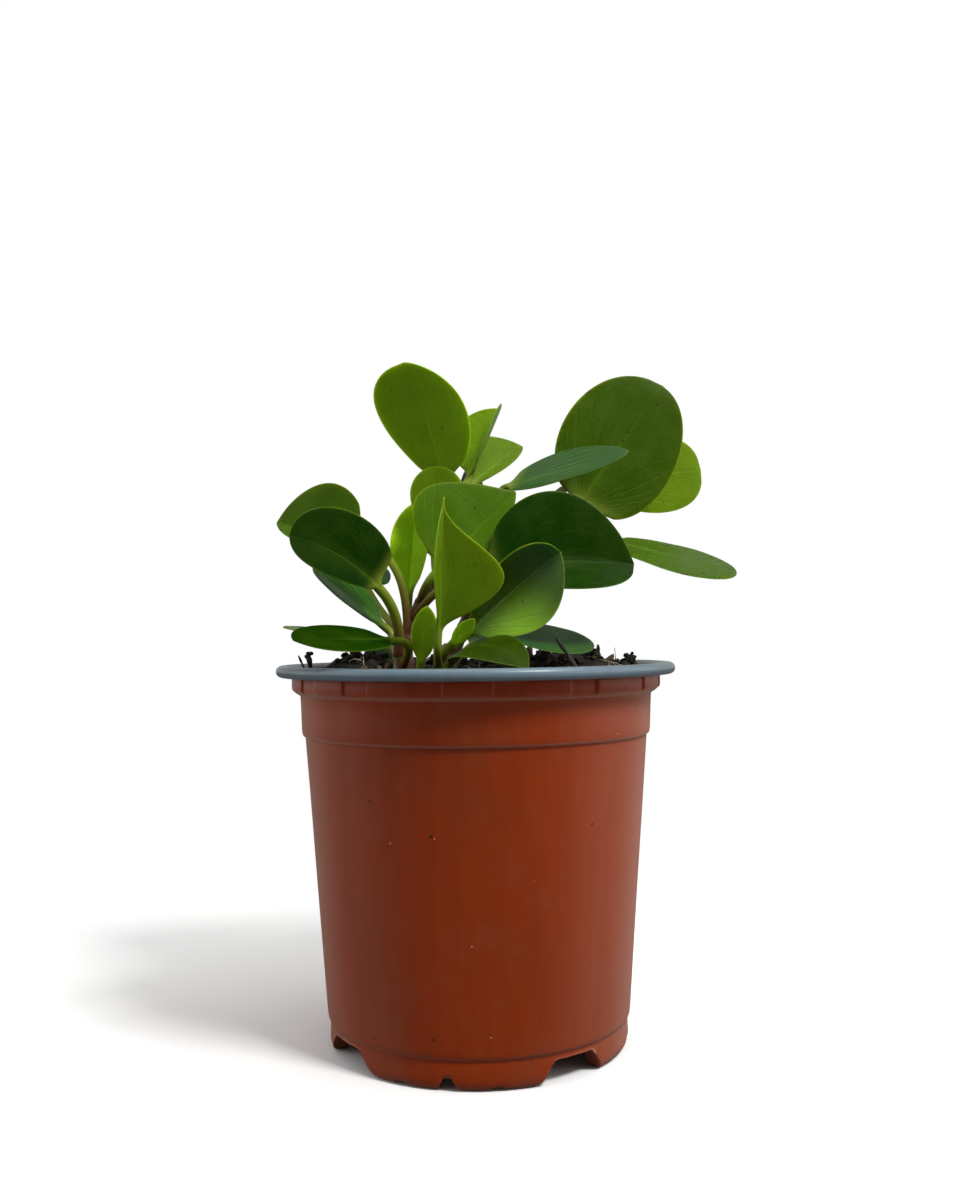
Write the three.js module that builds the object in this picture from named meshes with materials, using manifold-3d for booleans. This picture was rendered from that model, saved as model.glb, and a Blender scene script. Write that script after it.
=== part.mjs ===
// Potted peperomia: a young plant with round fleshy leaves in a small thermoformed nursery pot.
// Millimetres, +Z up. The pot is drawn on its own axis and the whole part is moved at the end,
// so that the origin lies under the middle of the part's bounding box, at the level of the feet.
import * as THREE from 'three';
import { mergeVertices } from 'three/addons/utils/BufferGeometryUtils.js';
import Module from 'manifold-3d';

const wasm = await Module();
wasm.setup();

// Pot
const POT_HEIGHT = 112.4;
const RIM_RADIUS = 60;
const RIM_ROLL = 2;
const BAND_BOTTOM = 104.7;
const BAND_TOP = 108.9;
const BAND_RADIUS = 54.7;
const PAD_COUNT = 16;
const PAD_ANGLE = 13.9;
const PAD_START = -8.9;
const STEP_HEIGHT = 91.6;
const UPPER_RADIUS = 52.5;
const TAPER_TOP_RADIUS = 51.4;
const TAPER_BOTTOM_RADIUS = 45;
const CREASE_HEIGHT = 8.3;
const FOOT_RADIUS = 44.6;
const FOOT_INNER_RADIUS = 39.5;
const FLOOR_HEIGHT = 6.8;
const WALL = 1.2;
const FOOT_COUNT = 4;
const FOOT_GAP_ANGLE = 16;
const FOOT_GAP_HEIGHT = 6.4;
const FOOT_GAP_START = 32;
const NOTCH_STEP = 18;
const NOTCH_RADIUS = 1.6;
const DRAIN_HOLE_RADIUS = 4;
const DRAIN_CIRCLE_RADIUS = 27;
const POT_SIDES = 40;

// Soil
const SOIL_LEVEL = 107.6;
const SOIL_BOTTOM = 8.4;
const MOUND = { x: 25, y: 9, spread: 14, height: 7.4 };
const SOIL_RINGS = 5;
const SOIL_SIDES = 24;
const CRUMB_COUNT = 22;

// Plant
const CLEARANCE = 0.3;
const STEM_SIDES = 8;
const STEM_STEPS = 3;
const LEAF_THICKNESS = 0.9;
const KEEL_DEPTH = 0.7;
const STALK_RADIUS = 1.2;
const BLADE_START = 0.22;
const TIP_HALF_WIDTH = 0.35;
const LEAF_RINGS = 9;
const PETIOLE_RINGS = 3;
const LEAF_COLUMNS = 5;

const COLOURS = {
  terracotta: 0x8f4a30,
  soil: 0x2b211b,
  stem: 0x7a4a2c,
  young: 0x9bb52e,
  green: 0x4f7a1e,
  dark: 0x22501f,
};

// Each stem is a smooth line through these points, from inside the soil to its growing tip.
const STEMS = {
  stem_left: {
    points: [[-22.5, -8, 88], [-22.5, -8, 105], [-22.7, -8, 113.5], [-23.6, -6.5, 119]],
    radii: [2.2, 1.5],
  },
  stem_crown: {
    points: [[-20.5, 0, 84], [-20.8, 0, 106], [-20.8, 0, 119], [-17.4, 1, 129.5], [-12.9, 5, 137],
      [-8.2, 8, 148], [-3.8, 10, 167.5]],
    radii: [2.3, 1.3],
  },
  stem_right: {
    points: [[-9.5, 5, 84], [-9, 5, 104], [-6, 6, 117], [-0.5, 8, 131], [5, 9.5, 146], [13, 12, 157.5],
      [28.5, 14, 165]],
    radii: [2.3, 1.4],
  },
  stem_front: {
    points: [[-11.5, -10, 88], [-11.3, -10, 105], [-10.6, -10.6, 112], [-9, -12.5, 117]],
    radii: [2.2, 1.5],
  },
};

// Leaves. root: the stem and how far along its points the petiole starts, or a place in the soil.
// stalk: the petiole's radius, where it isn't the usual one.
// base: the share of the blade's length over which the petiole flattens into it.
// neck: where the petiole meets the blade. width, p, q, fold and cup may differ left and right:
// p and q shape the outline towards the neck and the tip, fold lifts each half from the midrib
// and cup rounds it. turn: the blade's turn about its midrib, from facing the front.
// bow bends the midrib along the blade's face and skew sideways, in millimetres.
const LEAVES = {
  leaf_crown_round: { root: ['stem_crown', 5.75], neck: [-8.5, 7, 166], tip: [-20.5, -8, 203],
    width: [29, 30], turn: -28, bow: -2, cup: 12, p: [0.95, 0.85], q: [0.42, 0.7], tone: 'green' },
  leaf_crown_folded: { root: ['stem_crown', 6], neck: [-1.5, 14, 170.5], tip: [9, 22, 194.5],
    width: [24, 28], turn: -56, fold: [30, 32], cup: [8, 5], q: 0.55, tone: 'young' },
  leaf_crown_young: { root: ['stem_crown', 5.6], neck: [-0.5, 20, 169.5], tip: [16, 36, 184.5],
    width: [28, 12], turn: -25, fold: [8, 20], cup: [5, 25], q: 0.7, tone: 'young' },
  leaf_crown_back: { root: ['stem_crown', 5.35], neck: [-4, 20, 162], tip: [3, 46, 173], width: 17,
    turn: 40, tone: 'dark' },
  leaf_crown_small: { root: ['stem_crown', 5.1], neck: [-9.5, 4.6, 153.5], tip: [-12.5, 2, 173],
    width: 17, turn: 0, cup: [12, 8], p: 0.6, tone: 'green' },
  leaf_middle_broad: { root: ['stem_crown', 3.2], neck: [-11, -6, 140.5], tip: [13, 4, 165], base: 0.12,
    width: [41, 16], turn: -36, fold: [36, -10], p: [0.7, 0.5], q: [1.05, 0.8], tone: 'green' },
  leaf_middle_dark: { root: ['stem_crown', 2.55], neck: [2, -9, 139.8], tip: [48, -5.5, 141.5],
    base: 0.15, width: [44, 30], turn: -30, fold: [25, 15], cup: [0, 20], p: [0.8, 0.6], q: [0.85, 0.38],
    skew: -2, tone: 'dark' },
  leaf_front_folded: { root: ['stem_front', 1.95], neck: [-10.5, -26, 119], tip: [-8.5, -32, 159.5],
    width: [24, 36], turn: 42, lead: 0.35, fold: 42, p: [2.4, 2.3], q: [1.8, 2.7], tone: 'young' },
  leaf_right_round: { root: ['stem_right', 6], neck: [33.5, 16, 162], tip: [62, 24, 202], base: 0.06,
    width: [40.5, 39], turn: 0, fold: [-8, 0], p: [0.5, 0.36], q: [0.45, 0.48], tone: 'green' },
  leaf_right_back: { root: ['stem_right', 5.75], neck: [36.5, 28, 170.5], tip: [78, 44, 177], width: 26,
    turn: 0, q: 0.4, tone: 'young' },
  leaf_right_over: { root: ['stem_right', 4.85], neck: [10.5, 12.3, 167.6], tip: [46.5, -8, 175.5],
    base: 0.06, width: [31, 15], turn: -60, p: [0.45, 0.5], q: [0.8, 0.4], tone: 'dark' },
  leaf_right_low: { root: ['stem_right', 5.45], neck: [39, 5, 150], tip: [80, 0, 138.5], width: 30,
    turn: -68, skew: -1.4, tone: 'green' },
  leaf_front_cupped: { root: ['stem_front', 3], neck: [-4, -13, 119.5], tip: [24.5, -28, 144],
    width: [17, 31], turn: -10, cup: [20, 30], fold: 5, p: [1.1, 1.15], q: [0.5, 0.65], skew: -1,
    tone: 'dark' },
  leaf_front_arched: { root: ['stem_front', 1.5], neck: [-8, -19.5, 111.6], tip: [14.5, -40, 111.8],
    lead: 0.3, width: 19, turn: -72, bow: 6.5, p: 1, q: 0.8, tone: 'green' },
  leaf_front_bud: { root: ['stem_front', 2.45], neck: [-6.5, -18.5, 118.5], tip: [0, -24, 125.5],
    width: 4.6, turn: 0, p: 0.8, q: 0.75, tone: 'young' },
  leaf_front_small: { root: [-17.2, -15, 99], neck: [-16, -14.6, 112.5], tip: [-13.7, -17.2, 129.5],
    width: 7.6, turn: 0, p: 0.9, q: 0.7, tone: 'young' },
  leaf_left_flat: { root: ['stem_left', 1.6], neck: [-22.4, -19, 119.4], tip: [-49.5, -38, 120],
    width: [32, 20], turn: 72, fold: 8, p: [0.9, 0.6], q: [0.4, 0.5], tone: 'dark' },
  leaf_left_edge: { root: ['stem_crown', 1.5], neck: [-30.5, 8, 119], tip: [-60.5, 30, 124.5], width: 24,
    turn: 86, tone: 'green' },
  leaf_left_slant: { root: ['stem_left', 2.7], neck: [-26.5, -4, 123], tip: [-47.5, -14, 141],
    width: [13, 17], turn: 66, fold: 10, p: [0.8, 0.75], q: [0.45, 0.75], tone: 'dark' },
  leaf_left_front: { root: ['stem_left', 2.2], neck: [-28, -16, 135], tip: [-51, -34, 149], stalk: 1.5,
    base: 0.08, width: [16, 27], turn: 26, fold: 12, p: [0.7, 0.3], q: [0.4, 0.45], skew: 2.4,
    tone: 'green' },
  leaf_left_back: { root: ['stem_crown', 1.9], neck: [-33.5, 5, 149], tip: [-64, 22, 158],
    width: [16, 34], turn: 30, fold: 25, q: [0.8, 0.65], tone: 'green' },
  leaf_left_young: { root: ['stem_crown', 2.35], neck: [-20.5, 6, 132.5], tip: [-18, 11, 163],
    width: [14.5, 11], turn: -10, fold: 20, p: 0.9, q: 0.7, tone: 'young' },
  leaf_left_floor: { root: ['stem_crown', 1.2], neck: [-22.5, 10, 113.5], tip: [-33, 28, 118], width: 14,
    turn: 25, tone: 'dark' },
  leaf_right_floor: { root: ['stem_right', 1.9], neck: [4, 2, 124.5], tip: [35.5, -6, 116.5], width: 24,
    turn: -70, tone: 'dark' },
  leaf_back_right: { root: ['stem_right', 2.8], neck: [4, 22, 136], tip: [26, 52, 150], width: 30,
    turn: -70, bow: 2, tone: 'green' },
  leaf_back_middle: { root: ['stem_crown', 4.3], neck: [-13, 20, 146], tip: [-15, 48, 161], width: 24,
    turn: 10, bow: 2, tone: 'green' },
  leaf_back_left: { root: ['stem_crown', 2.1], neck: [-34, 20, 135], tip: [-50, 46, 150], width: 30,
    turn: 60, bow: 2, tone: 'dark' },
  leaf_back_low: { root: ['stem_right', 1.5], neck: [-2, 20, 117], tip: [18, 48, 123], width: 26,
    turn: -66, bow: 3, tone: 'dark' },
};

const radians = THREE.MathUtils.degToRad;
const vector = (place) => new THREE.Vector3(...place);
const pair = (value) => (Array.isArray(value) ? value : [value, value]);

// Meshes to solids and back

function geometryOf(places, faces) {
  const geometry = new THREE.BufferGeometry();
  const flat = places.flatMap((p) => [p.x, p.y, p.z]);
  geometry.setAttribute('position', new THREE.Float32BufferAttribute(flat, 3));
  geometry.setIndex(faces.flat());
  return geometry;
}

function solidOf(geometry) {
  const plain = geometry.clone();
  plain.deleteAttribute('normal');
  plain.deleteAttribute('uv');
  const merged = mergeVertices(plain, 1e-4);
  return new wasm.Manifold(new wasm.Mesh({
    numProp: 3,
    vertProperties: new Float32Array(merged.attributes.position.array),
    triVerts: new Uint32Array(merged.index.array),
  }));
}

function geometryFromSolid(solid) {
  const mesh = solid.getMesh();
  const geometry = new THREE.BufferGeometry();
  geometry.setAttribute('position', new THREE.BufferAttribute(mesh.vertProperties, 3));
  geometry.setIndex(new THREE.BufferAttribute(mesh.triVerts, 1));
  return geometry;
}

function largestPiece(solid) {
  const pieces = solid.decompose();
  return pieces.reduce((best, piece) => (piece.volume() > best.volume() ? piece : best));
}

function seededRandom(seed) {
  let state = seed;
  return () => {
    state = (state * 1664525 + 1013904223) % 4294967296;
    return state / 4294967296;
  };
}

// Pot: one thin lathed wall with a rolled rim, stacking pads under it and four feet

function rimPoints() {
  const points = [];
  const centre = new THREE.Vector2(RIM_RADIUS - RIM_ROLL, POT_HEIGHT - RIM_ROLL);
  for (let angle = -90; angle <= 90; angle += 45) {
    const turn = radians(angle);
    points.push([centre.x + RIM_ROLL * Math.cos(turn), centre.y + RIM_ROLL * Math.sin(turn)]);
  }
  return points;
}

function potProfile() {
  const grooveRadius = UPPER_RADIUS + 0.6;
  const outside = [
    [FOOT_RADIUS - 2.2, 0],
    [FOOT_RADIUS - 0.7, 0.7],
    [FOOT_RADIUS, 3],
    [FOOT_RADIUS - 0.25, CREASE_HEIGHT],
    [TAPER_BOTTOM_RADIUS, CREASE_HEIGHT + 0.9],
    [TAPER_BOTTOM_RADIUS + 0.5, CREASE_HEIGHT + 5],
    [TAPER_TOP_RADIUS, STEP_HEIGHT - 0.4],
    [UPPER_RADIUS - 0.2, STEP_HEIGHT + 0.6],
    [grooveRadius, BAND_BOTTOM - 0.4],
    [grooveRadius, BAND_TOP],
    [grooveRadius + 2, POT_HEIGHT - 2 * RIM_ROLL],
  ];
  const inside = [
    [RIM_RADIUS - 3.6, POT_HEIGHT - 0.5],
    [grooveRadius + 0.4, BAND_TOP + 0.6],
    [grooveRadius - WALL, BAND_TOP - 0.6],
    [UPPER_RADIUS - 0.2 - WALL, STEP_HEIGHT + 0.9],
    [TAPER_TOP_RADIUS - WALL, STEP_HEIGHT - 0.9],
    [TAPER_BOTTOM_RADIUS + 0.5 - WALL, CREASE_HEIGHT + 5],
    [TAPER_BOTTOM_RADIUS - 1.6 - WALL, FLOOR_HEIGHT + WALL],
    [0, FLOOR_HEIGHT + WALL],
    [0, FLOOR_HEIGHT],
    [FOOT_INNER_RADIUS, FLOOR_HEIGHT],
    [FOOT_INNER_RADIUS + 0.6, 0],
    [FOOT_RADIUS - 2.2, 0],
  ];
  return [...outside, ...rimPoints(), ...inside].map(([r, z]) => new THREE.Vector2(r, z));
}

// LatheGeometry turns about Y, so it is laid over to stand on Z.
function lathed(points, sides) {
  return new THREE.LatheGeometry(points, sides).rotateX(Math.PI / 2);
}

// A block between two radii and two heights, over an angle measured from the front (-Y),
// positive towards +X.
function wedge(inner, outer, bottom, top, start, width) {
  const places = [];
  const steps = 2;
  for (let k = 0; k <= steps; k += 1) {
    const turn = radians(start + (width * k) / steps);
    for (const [r, z] of [[inner, bottom], [outer, bottom], [outer, top], [inner, top]]) {
      places.push(new THREE.Vector3(r * Math.sin(turn), -r * Math.cos(turn), z));
    }
  }
  const faces = [[0, 1, 2], [0, 2, 3]];
  for (let k = 0; k < steps; k += 1) {
    for (let a = 0; a < 4; a += 1) {
      const b = (a + 1) % 4;
      const [here, next] = [4 * k, 4 * k + 4];
      faces.push([here + a, next + a, next + b], [here + a, next + b, here + b]);
    }
  }
  const end = 4 * steps;
  faces.push([end, end + 2, end + 1], [end, end + 3, end + 2]);
  return solidOf(geometryOf(places, faces));
}

function notch(angle) {
  const bar = new THREE.CylinderGeometry(NOTCH_RADIUS, NOTCH_RADIUS, 12, 8);
  bar.translate(0, -FOOT_RADIUS, 0);
  return solidOf(bar.rotateZ(radians(angle)));
}

function drainHole(angle) {
  const hole = new THREE.CylinderGeometry(DRAIN_HOLE_RADIUS, DRAIN_HOLE_RADIUS, 8, 12);
  hole.rotateX(Math.PI / 2);
  hole.translate(0, -DRAIN_CIRCLE_RADIUS, FLOOR_HEIGHT);
  return solidOf(hole.rotateZ(radians(angle)));
}

function potSolid() {
  let pot = solidOf(lathed(potProfile(), POT_SIDES));
  const pitch = 360 / PAD_COUNT;
  for (let k = 0; k < PAD_COUNT; k += 1) {
    const start = PAD_START + k * pitch;
    pot = pot.add(wedge(UPPER_RADIUS, BAND_RADIUS, BAND_BOTTOM, BAND_TOP + 0.2, start, PAD_ANGLE));
  }
  const quarter = 360 / FOOT_COUNT;
  for (let k = 0; k < FOOT_COUNT; k += 1) {
    const gap = FOOT_GAP_START + k * quarter;
    const start = gap - FOOT_GAP_ANGLE / 2;
    pot = pot.subtract(wedge(30, 50, -1, FOOT_GAP_HEIGHT, start, FOOT_GAP_ANGLE));
    pot = pot.subtract(drainHole(gap));
    for (const side of [-NOTCH_STEP, 0, NOTCH_STEP]) {
      pot = pot.subtract(notch(gap + quarter / 2 + side));
    }
  }
  return pot;
}

// Soil: fills the pot, heaped towards the back right, with crumbs of bark and a few twigs on it

function soilHeight(x, y, random) {
  const heap = Math.exp(-((x - MOUND.x) ** 2 + (y - MOUND.y) ** 2) / (2 * MOUND.spread ** 2));
  return SOIL_LEVEL + MOUND.height * heap + 1.4 * (random() - 0.5);
}

function soilBody() {
  const random = seededRandom(5);
  const rimRadius = UPPER_RADIUS - WALL - 0.7;
  const side = [
    [TAPER_BOTTOM_RADIUS - 3.2, SOIL_BOTTOM],
    [TAPER_BOTTOM_RADIUS - 1.2, CREASE_HEIGHT + 5],
    [TAPER_TOP_RADIUS - WALL - 0.5, STEP_HEIGHT - 1],
    [rimRadius - 0.2, STEP_HEIGHT + 1.4],
  ];
  const places = [new THREE.Vector3(0, 0, SOIL_BOTTOM)];
  const ring = (radius, heightAt) => {
    for (let k = 0; k < SOIL_SIDES; k += 1) {
      const turn = (2 * Math.PI * k) / SOIL_SIDES;
      const [x, y] = [radius * Math.cos(turn), radius * Math.sin(turn)];
      places.push(new THREE.Vector3(x, y, heightAt(x, y)));
    }
  };
  side.forEach(([radius, z]) => ring(radius, () => z));
  for (let k = 0; k < SOIL_RINGS; k += 1) {
    ring(rimRadius * (1 - k / SOIL_RINGS), (x, y) => soilHeight(x, y, random));
  }
  places.push(new THREE.Vector3(0, 0, soilHeight(0, 0, random)));
  const faces = [];
  const last = places.length - 1;
  const rings = side.length + SOIL_RINGS;
  for (let k = 0; k < SOIL_SIDES; k += 1) {
    const next = (k + 1) % SOIL_SIDES;
    faces.push([0, 1 + next, 1 + k]);
    for (let row = 0; row < rings - 1; row += 1) {
      const [here, above] = [1 + row * SOIL_SIDES, 1 + (row + 1) * SOIL_SIDES];
      faces.push([here + k, here + next, above + next], [here + k, above + next, above + k]);
    }
    const top = 1 + (rings - 1) * SOIL_SIDES;
    faces.push([top + k, top + next, last]);
  }
  return solidOf(geometryOf(places, faces));
}

function crumb(x, y, z, size, random) {
  const lump = new THREE.IcosahedronGeometry(size, 0);
  lump.scale(1, 0.6 + 0.5 * random(), 0.5 + 0.4 * random());
  lump.rotateX(2 * random());
  lump.rotateZ(6 * random());
  return solidOf(lump.translate(x, y, z));
}

function twig(from, to, radius) {
  const start = vector(from);
  const along = vector(to).sub(start);
  const stick = new THREE.CylinderGeometry(radius * 0.7, radius, along.length(), 6);
  stick.translate(0, along.length() / 2, 0);
  const turn = new THREE.Quaternion().setFromUnitVectors(new THREE.Vector3(0, 1, 0),
    along.clone().normalize());
  stick.applyQuaternion(turn);
  return solidOf(stick.translate(start.x, start.y, start.z));
}

function soilSolid(holes) {
  const random = seededRandom(11);
  let soil = soilBody();
  for (let k = 0; k < CRUMB_COUNT; k += 1) {
    const turn = 2 * Math.PI * random();
    const reach = 46 * Math.sqrt(random());
    const [x, y] = [reach * Math.cos(turn), reach * Math.sin(turn)];
    const size = 1.6 + 1.8 * random();
    soil = soil.add(crumb(x, y, soilHeight(x, y, () => 0.5) + 0.2 * size, size, random));
  }
  const lumps = [[38, 10, 112.5, 3], [46, 8, 110.5, 3.4], [40, 20, 111.5, 3], [30, 16, 114, 3.2],
    [20, 6, 114, 3], [-47, 2, 108.5, 3]];
  lumps.forEach(([x, y, z, size]) => {
    soil = soil.add(crumb(x, y, z, size, random));
  });
  const twigs = [
    [[30, 10, 111], [24.5, 11, 119.5], 0.7],
    [[38, 10, 112], [38.5, 11, 117.5], 0.8],
    [[-48.5, 2, 107], [-51.5, 3, 115.5], 0.7],
    [[-48, 1, 107], [-49, 0, 115], 0.7],
    [[46, 8, 110], [49, 8, 115], 1],
  ];
  twigs.forEach(([from, to, radius]) => {
    soil = soil.add(twig(from, to, radius));
  });
  return largestPiece(soil.subtract(holes));
}

// Stems

function stemPoint(points, place) {
  const k = Math.min(Math.floor(place), points.length - 2);
  const t = place - k;
  const at = (index) => vector(points[THREE.MathUtils.clamp(index, 0, points.length - 1)]);
  const [a, b, c, d] = [at(k - 1), at(k), at(k + 1), at(k + 2)];
  return new THREE.Vector3(
    catmull(a.x, b.x, c.x, d.x, t),
    catmull(a.y, b.y, c.y, d.y, t),
    catmull(a.z, b.z, c.z, d.z, t),
  );
}

function catmull(a, b, c, d, t) {
  return 0.5 * (2 * b + (c - a) * t + (2 * a - 5 * b + 4 * c - d) * t ** 2
    + (3 * b - a - 3 * c + d) * t ** 3);
}

function stemSolid({ points, radii }, extra) {
  const count = (points.length - 1) * STEM_STEPS;
  const line = Array.from({ length: count + 1 }, (_, k) => stemPoint(points, k / STEM_STEPS));
  const places = [];
  line.forEach((centre, k) => {
    const along = line[Math.min(k + 1, count)].clone().sub(line[Math.max(k - 1, 0)]).normalize();
    const across = new THREE.Vector3(0, 1, 0).cross(along).normalize();
    const other = along.clone().cross(across);
    const radius = THREE.MathUtils.lerp(radii[0], radii[1], k / count) + extra;
    if (k === 0) {
      centre.addScaledVector(along, -extra);
    }
    for (let a = 0; a < STEM_SIDES; a += 1) {
      const turn = (2 * Math.PI * a) / STEM_SIDES;
      places.push(centre.clone()
        .addScaledVector(across, radius * Math.cos(turn))
        .addScaledVector(other, radius * Math.sin(turn)));
    }
  });
  const onward = line[count].clone().sub(line[count - 1]).normalize();
  places.push(line[0], line[count].clone().addScaledVector(onward, 0.5 * radii[1] + 2 * extra));
  return solidOf(geometryOf(places, tubeFaces(count, STEM_SIDES)));
}

function tubeFaces(count, sides) {
  const faces = [];
  const start = (count + 1) * sides;
  for (let a = 0; a < sides; a += 1) {
    const b = (a + 1) % sides;
    for (let k = 0; k < count; k += 1) {
      const [here, next] = [k * sides, (k + 1) * sides];
      faces.push([here + a, here + b, next + b], [here + a, next + b, next + a]);
    }
    faces.push([start, b, a], [start + 1, count * sides + a, count * sides + b]);
  }
  return faces;
}

// Leaves: a round petiole that widens into a thin blade, lofted along two joined curves

function leafCurves(leaf) {
  const root = typeof leaf.root[0] === 'string'
    ? stemPoint(STEMS[leaf.root[0]].points, leaf.root[1]) : vector(leaf.root);
  const neck = vector(leaf.neck);
  const tip = vector(leaf.tip);
  const chord = tip.clone().sub(neck);
  const along = chord.clone().normalize();
  const front = new THREE.Vector3(0, -1, 0);
  const facing = front.clone().addScaledVector(along, -front.dot(along)).normalize();
  const turn = radians(leaf.turn);
  const face = facing.clone().multiplyScalar(Math.cos(turn))
    .addScaledVector(along.clone().cross(facing), Math.sin(turn));
  const side = along.clone().cross(face);
  const bend = neck.clone().addScaledVector(chord, 0.5)
    .addScaledVector(face, 2 * (leaf.bow ?? 0)).addScaledVector(side, 2 * (leaf.skew ?? 0));
  const lead = neck.distanceTo(root) * (leaf.lead ?? 0.5);
  const before = neck.clone().addScaledVector(bend.clone().sub(neck).normalize(), -lead);
  return {
    petiole: new THREE.QuadraticBezierCurve3(root, before, neck),
    blade: new THREE.QuadraticBezierCurve3(neck, bend, tip),
    face,
  };
}

// Half the blade's width at s, from 0 at the neck to 1 at the tip.
function halfWidth(width, p, q, s) {
  const peak = (p / (p + q)) ** p * (q / (p + q)) ** q;
  const outline = (width / 2) * (s ** p * (1 - s) ** q) / peak;
  return Math.max(Math.hypot(outline, STALK_RADIUS * (1 - s)), TIP_HALF_WIDTH);
}

// One half of the blade's section: an arc that leaves the midrib at angle fold and turns by cup.
function sectionPoint(half, fold, cup, j) {
  if (cup < 1e-4) {
    return [half * j * Math.cos(fold), half * j * Math.sin(fold)];
  }
  const end = fold + cup * j;
  return [half * (Math.sin(end) - Math.sin(fold)) / cup, half * (Math.cos(fold) - Math.cos(end)) / cup];
}

function bladeSection(leaf, s, j) {
  const k = j < 0 ? 0 : 1;
  const half = halfWidth(pair(leaf.width)[k], pair(leaf.p ?? 0.72)[k], pair(leaf.q ?? 0.5)[k], s);
  const fold = radians(pair(leaf.fold ?? 0)[k]);
  const cup = radians(pair(leaf.cup ?? 0)[k]);
  const [x, z] = sectionPoint(half, fold, cup, Math.abs(j));
  return [x * Math.sign(j), z];
}

// The ring at s: the upper side from left to right and then the lower side back again.
function leafRing(leaf, curve, t, s, face) {
  const centre = curve.getPoint(t);
  const along = curve.getTangent(t);
  const normal = face.clone().addScaledVector(along, -face.dot(along)).normalize();
  const side = along.clone().cross(normal);
  const blend = THREE.MathUtils.smoothstep(s, 0, leaf.base ?? BLADE_START);
  const keel = KEEL_DEPTH * (1 - s);
  const stalk = leaf.stalk ?? STALK_RADIUS;
  const upper = [];
  const lower = [];
  for (let k = 0; k < LEAF_COLUMNS; k += 1) {
    const j = (2 * k) / (LEAF_COLUMNS - 1) - 1;
    const turn = (Math.PI / 2) * (1 - j * (1 - 1 / LEAF_COLUMNS));
    const [x, z] = bladeSection(leaf, s, j);
    const round = [stalk * Math.cos(turn), stalk * Math.sin(turn)];
    const at = (flat, tube) => centre.clone()
      .addScaledVector(side, THREE.MathUtils.lerp(tube[0], flat[0], blend))
      .addScaledVector(normal, THREE.MathUtils.lerp(tube[1], flat[1], blend));
    const drop = LEAF_THICKNESS / 2 + (j === 0 ? keel : 0);
    upper.push(at([x, z + LEAF_THICKNESS / 2], round));
    lower.unshift(at([x, z - drop], [round[0], -round[1]]));
  }
  return [...upper, ...lower];
}

// Both sides of the blade are split into the same triangles.
function leafFaces(rings) {
  const size = 2 * LEAF_COLUMNS;
  const faces = [];
  for (let row = 0; row < rings - 1; row += 1) {
    for (let a = 0; a < size; a += 1) {
      const b = (a + 1) % size;
      const [here, next] = [row * size, (row + 1) * size];
      if (a < LEAF_COLUMNS) {
        faces.push([here + a, here + b, next + b], [here + a, next + b, next + a]);
      } else {
        faces.push([here + a, here + b, next + a], [here + b, next + b, next + a]);
      }
    }
  }
  const end = (rings - 1) * size;
  for (let a = 0; a < LEAF_COLUMNS - 1; a += 1) {
    const [b, c, d] = [a + 1, size - 2 - a, size - 1 - a];
    faces.push([a, c, b], [a, d, c]);
    faces.push([end + a, end + b, end + c], [end + a, end + c, end + d]);
  }
  return faces;
}

function leafSolid(leaf) {
  const { petiole, blade, face } = leafCurves(leaf);
  const places = [];
  for (let k = 0; k < PETIOLE_RINGS; k += 1) {
    places.push(...leafRing(leaf, petiole, k / PETIOLE_RINGS, 0, face));
  }
  for (let k = 0; k <= LEAF_RINGS; k += 1) {
    const even = k / LEAF_RINGS;
    const s = (even + (1 - Math.cos(Math.PI * even)) / 2) / 2;
    places.push(...leafRing(leaf, blade, s, s, face));
  }
  return solidOf(geometryOf(places, leafFaces(PETIOLE_RINGS + LEAF_RINGS + 1)));
}

// The whole plant in its pot

function material(colour, roughness) {
  return new THREE.MeshStandardMaterial({ color: COLOURS[colour], roughness, metalness: 0 });
}

function mesh(name, solid, colour, roughness) {
  const made = new THREE.Mesh(geometryFromSolid(solid), material(colour, roughness));
  made.name = name;
  return made;
}

const plant = new THREE.Group();
plant.add(mesh('pot', potSolid(), 'terracotta', 0.5));

const stemEntries = Object.entries(STEMS);
stemEntries.forEach(([name, stem]) => plant.add(mesh(name, stemSolid(stem, 0), 'stem', 0.6)));
const aroundStems = stemEntries
  .map(([, stem]) => stemSolid(stem, CLEARANCE))
  .reduce((all, one) => all.add(one));

for (const [name, leaf] of Object.entries(LEAVES)) {
  plant.add(mesh(name, largestPiece(leafSolid(leaf).subtract(aroundStems)), leaf.tone, 0.35));
}

const buried = LEAVES.leaf_front_small;
const [rootX, rootY, rootZ] = buried.root;
const aroundStalk = leafSolid({ ...buried, root: [rootX, rootY, rootZ - CLEARANCE],
  stalk: STALK_RADIUS + 1.3 * CLEARANCE });
plant.add(mesh('soil', soilSolid(aroundStems.add(aroundStalk)), 'soil', 0.95));

const middle = new THREE.Box3().setFromObject(plant).getCenter(new THREE.Vector3());
plant.position.set(-middle.x, -middle.y, 0);

const group = new THREE.Group();
group.add(plant);

export default group;
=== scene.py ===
"""A young peperomia in a small nursery pot: a two-tone plastic pot, peat with bark and twigs,
four fleshy stems and the round, waxy leaves that they carry."""
import math
import random

import bmesh
import bpy
from bpy.props import (
    FloatProperty,
    FloatVectorProperty,
    IntProperty,
    PointerProperty,
)
from mathutils import Matrix, Quaternion, Vector, noise


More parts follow.
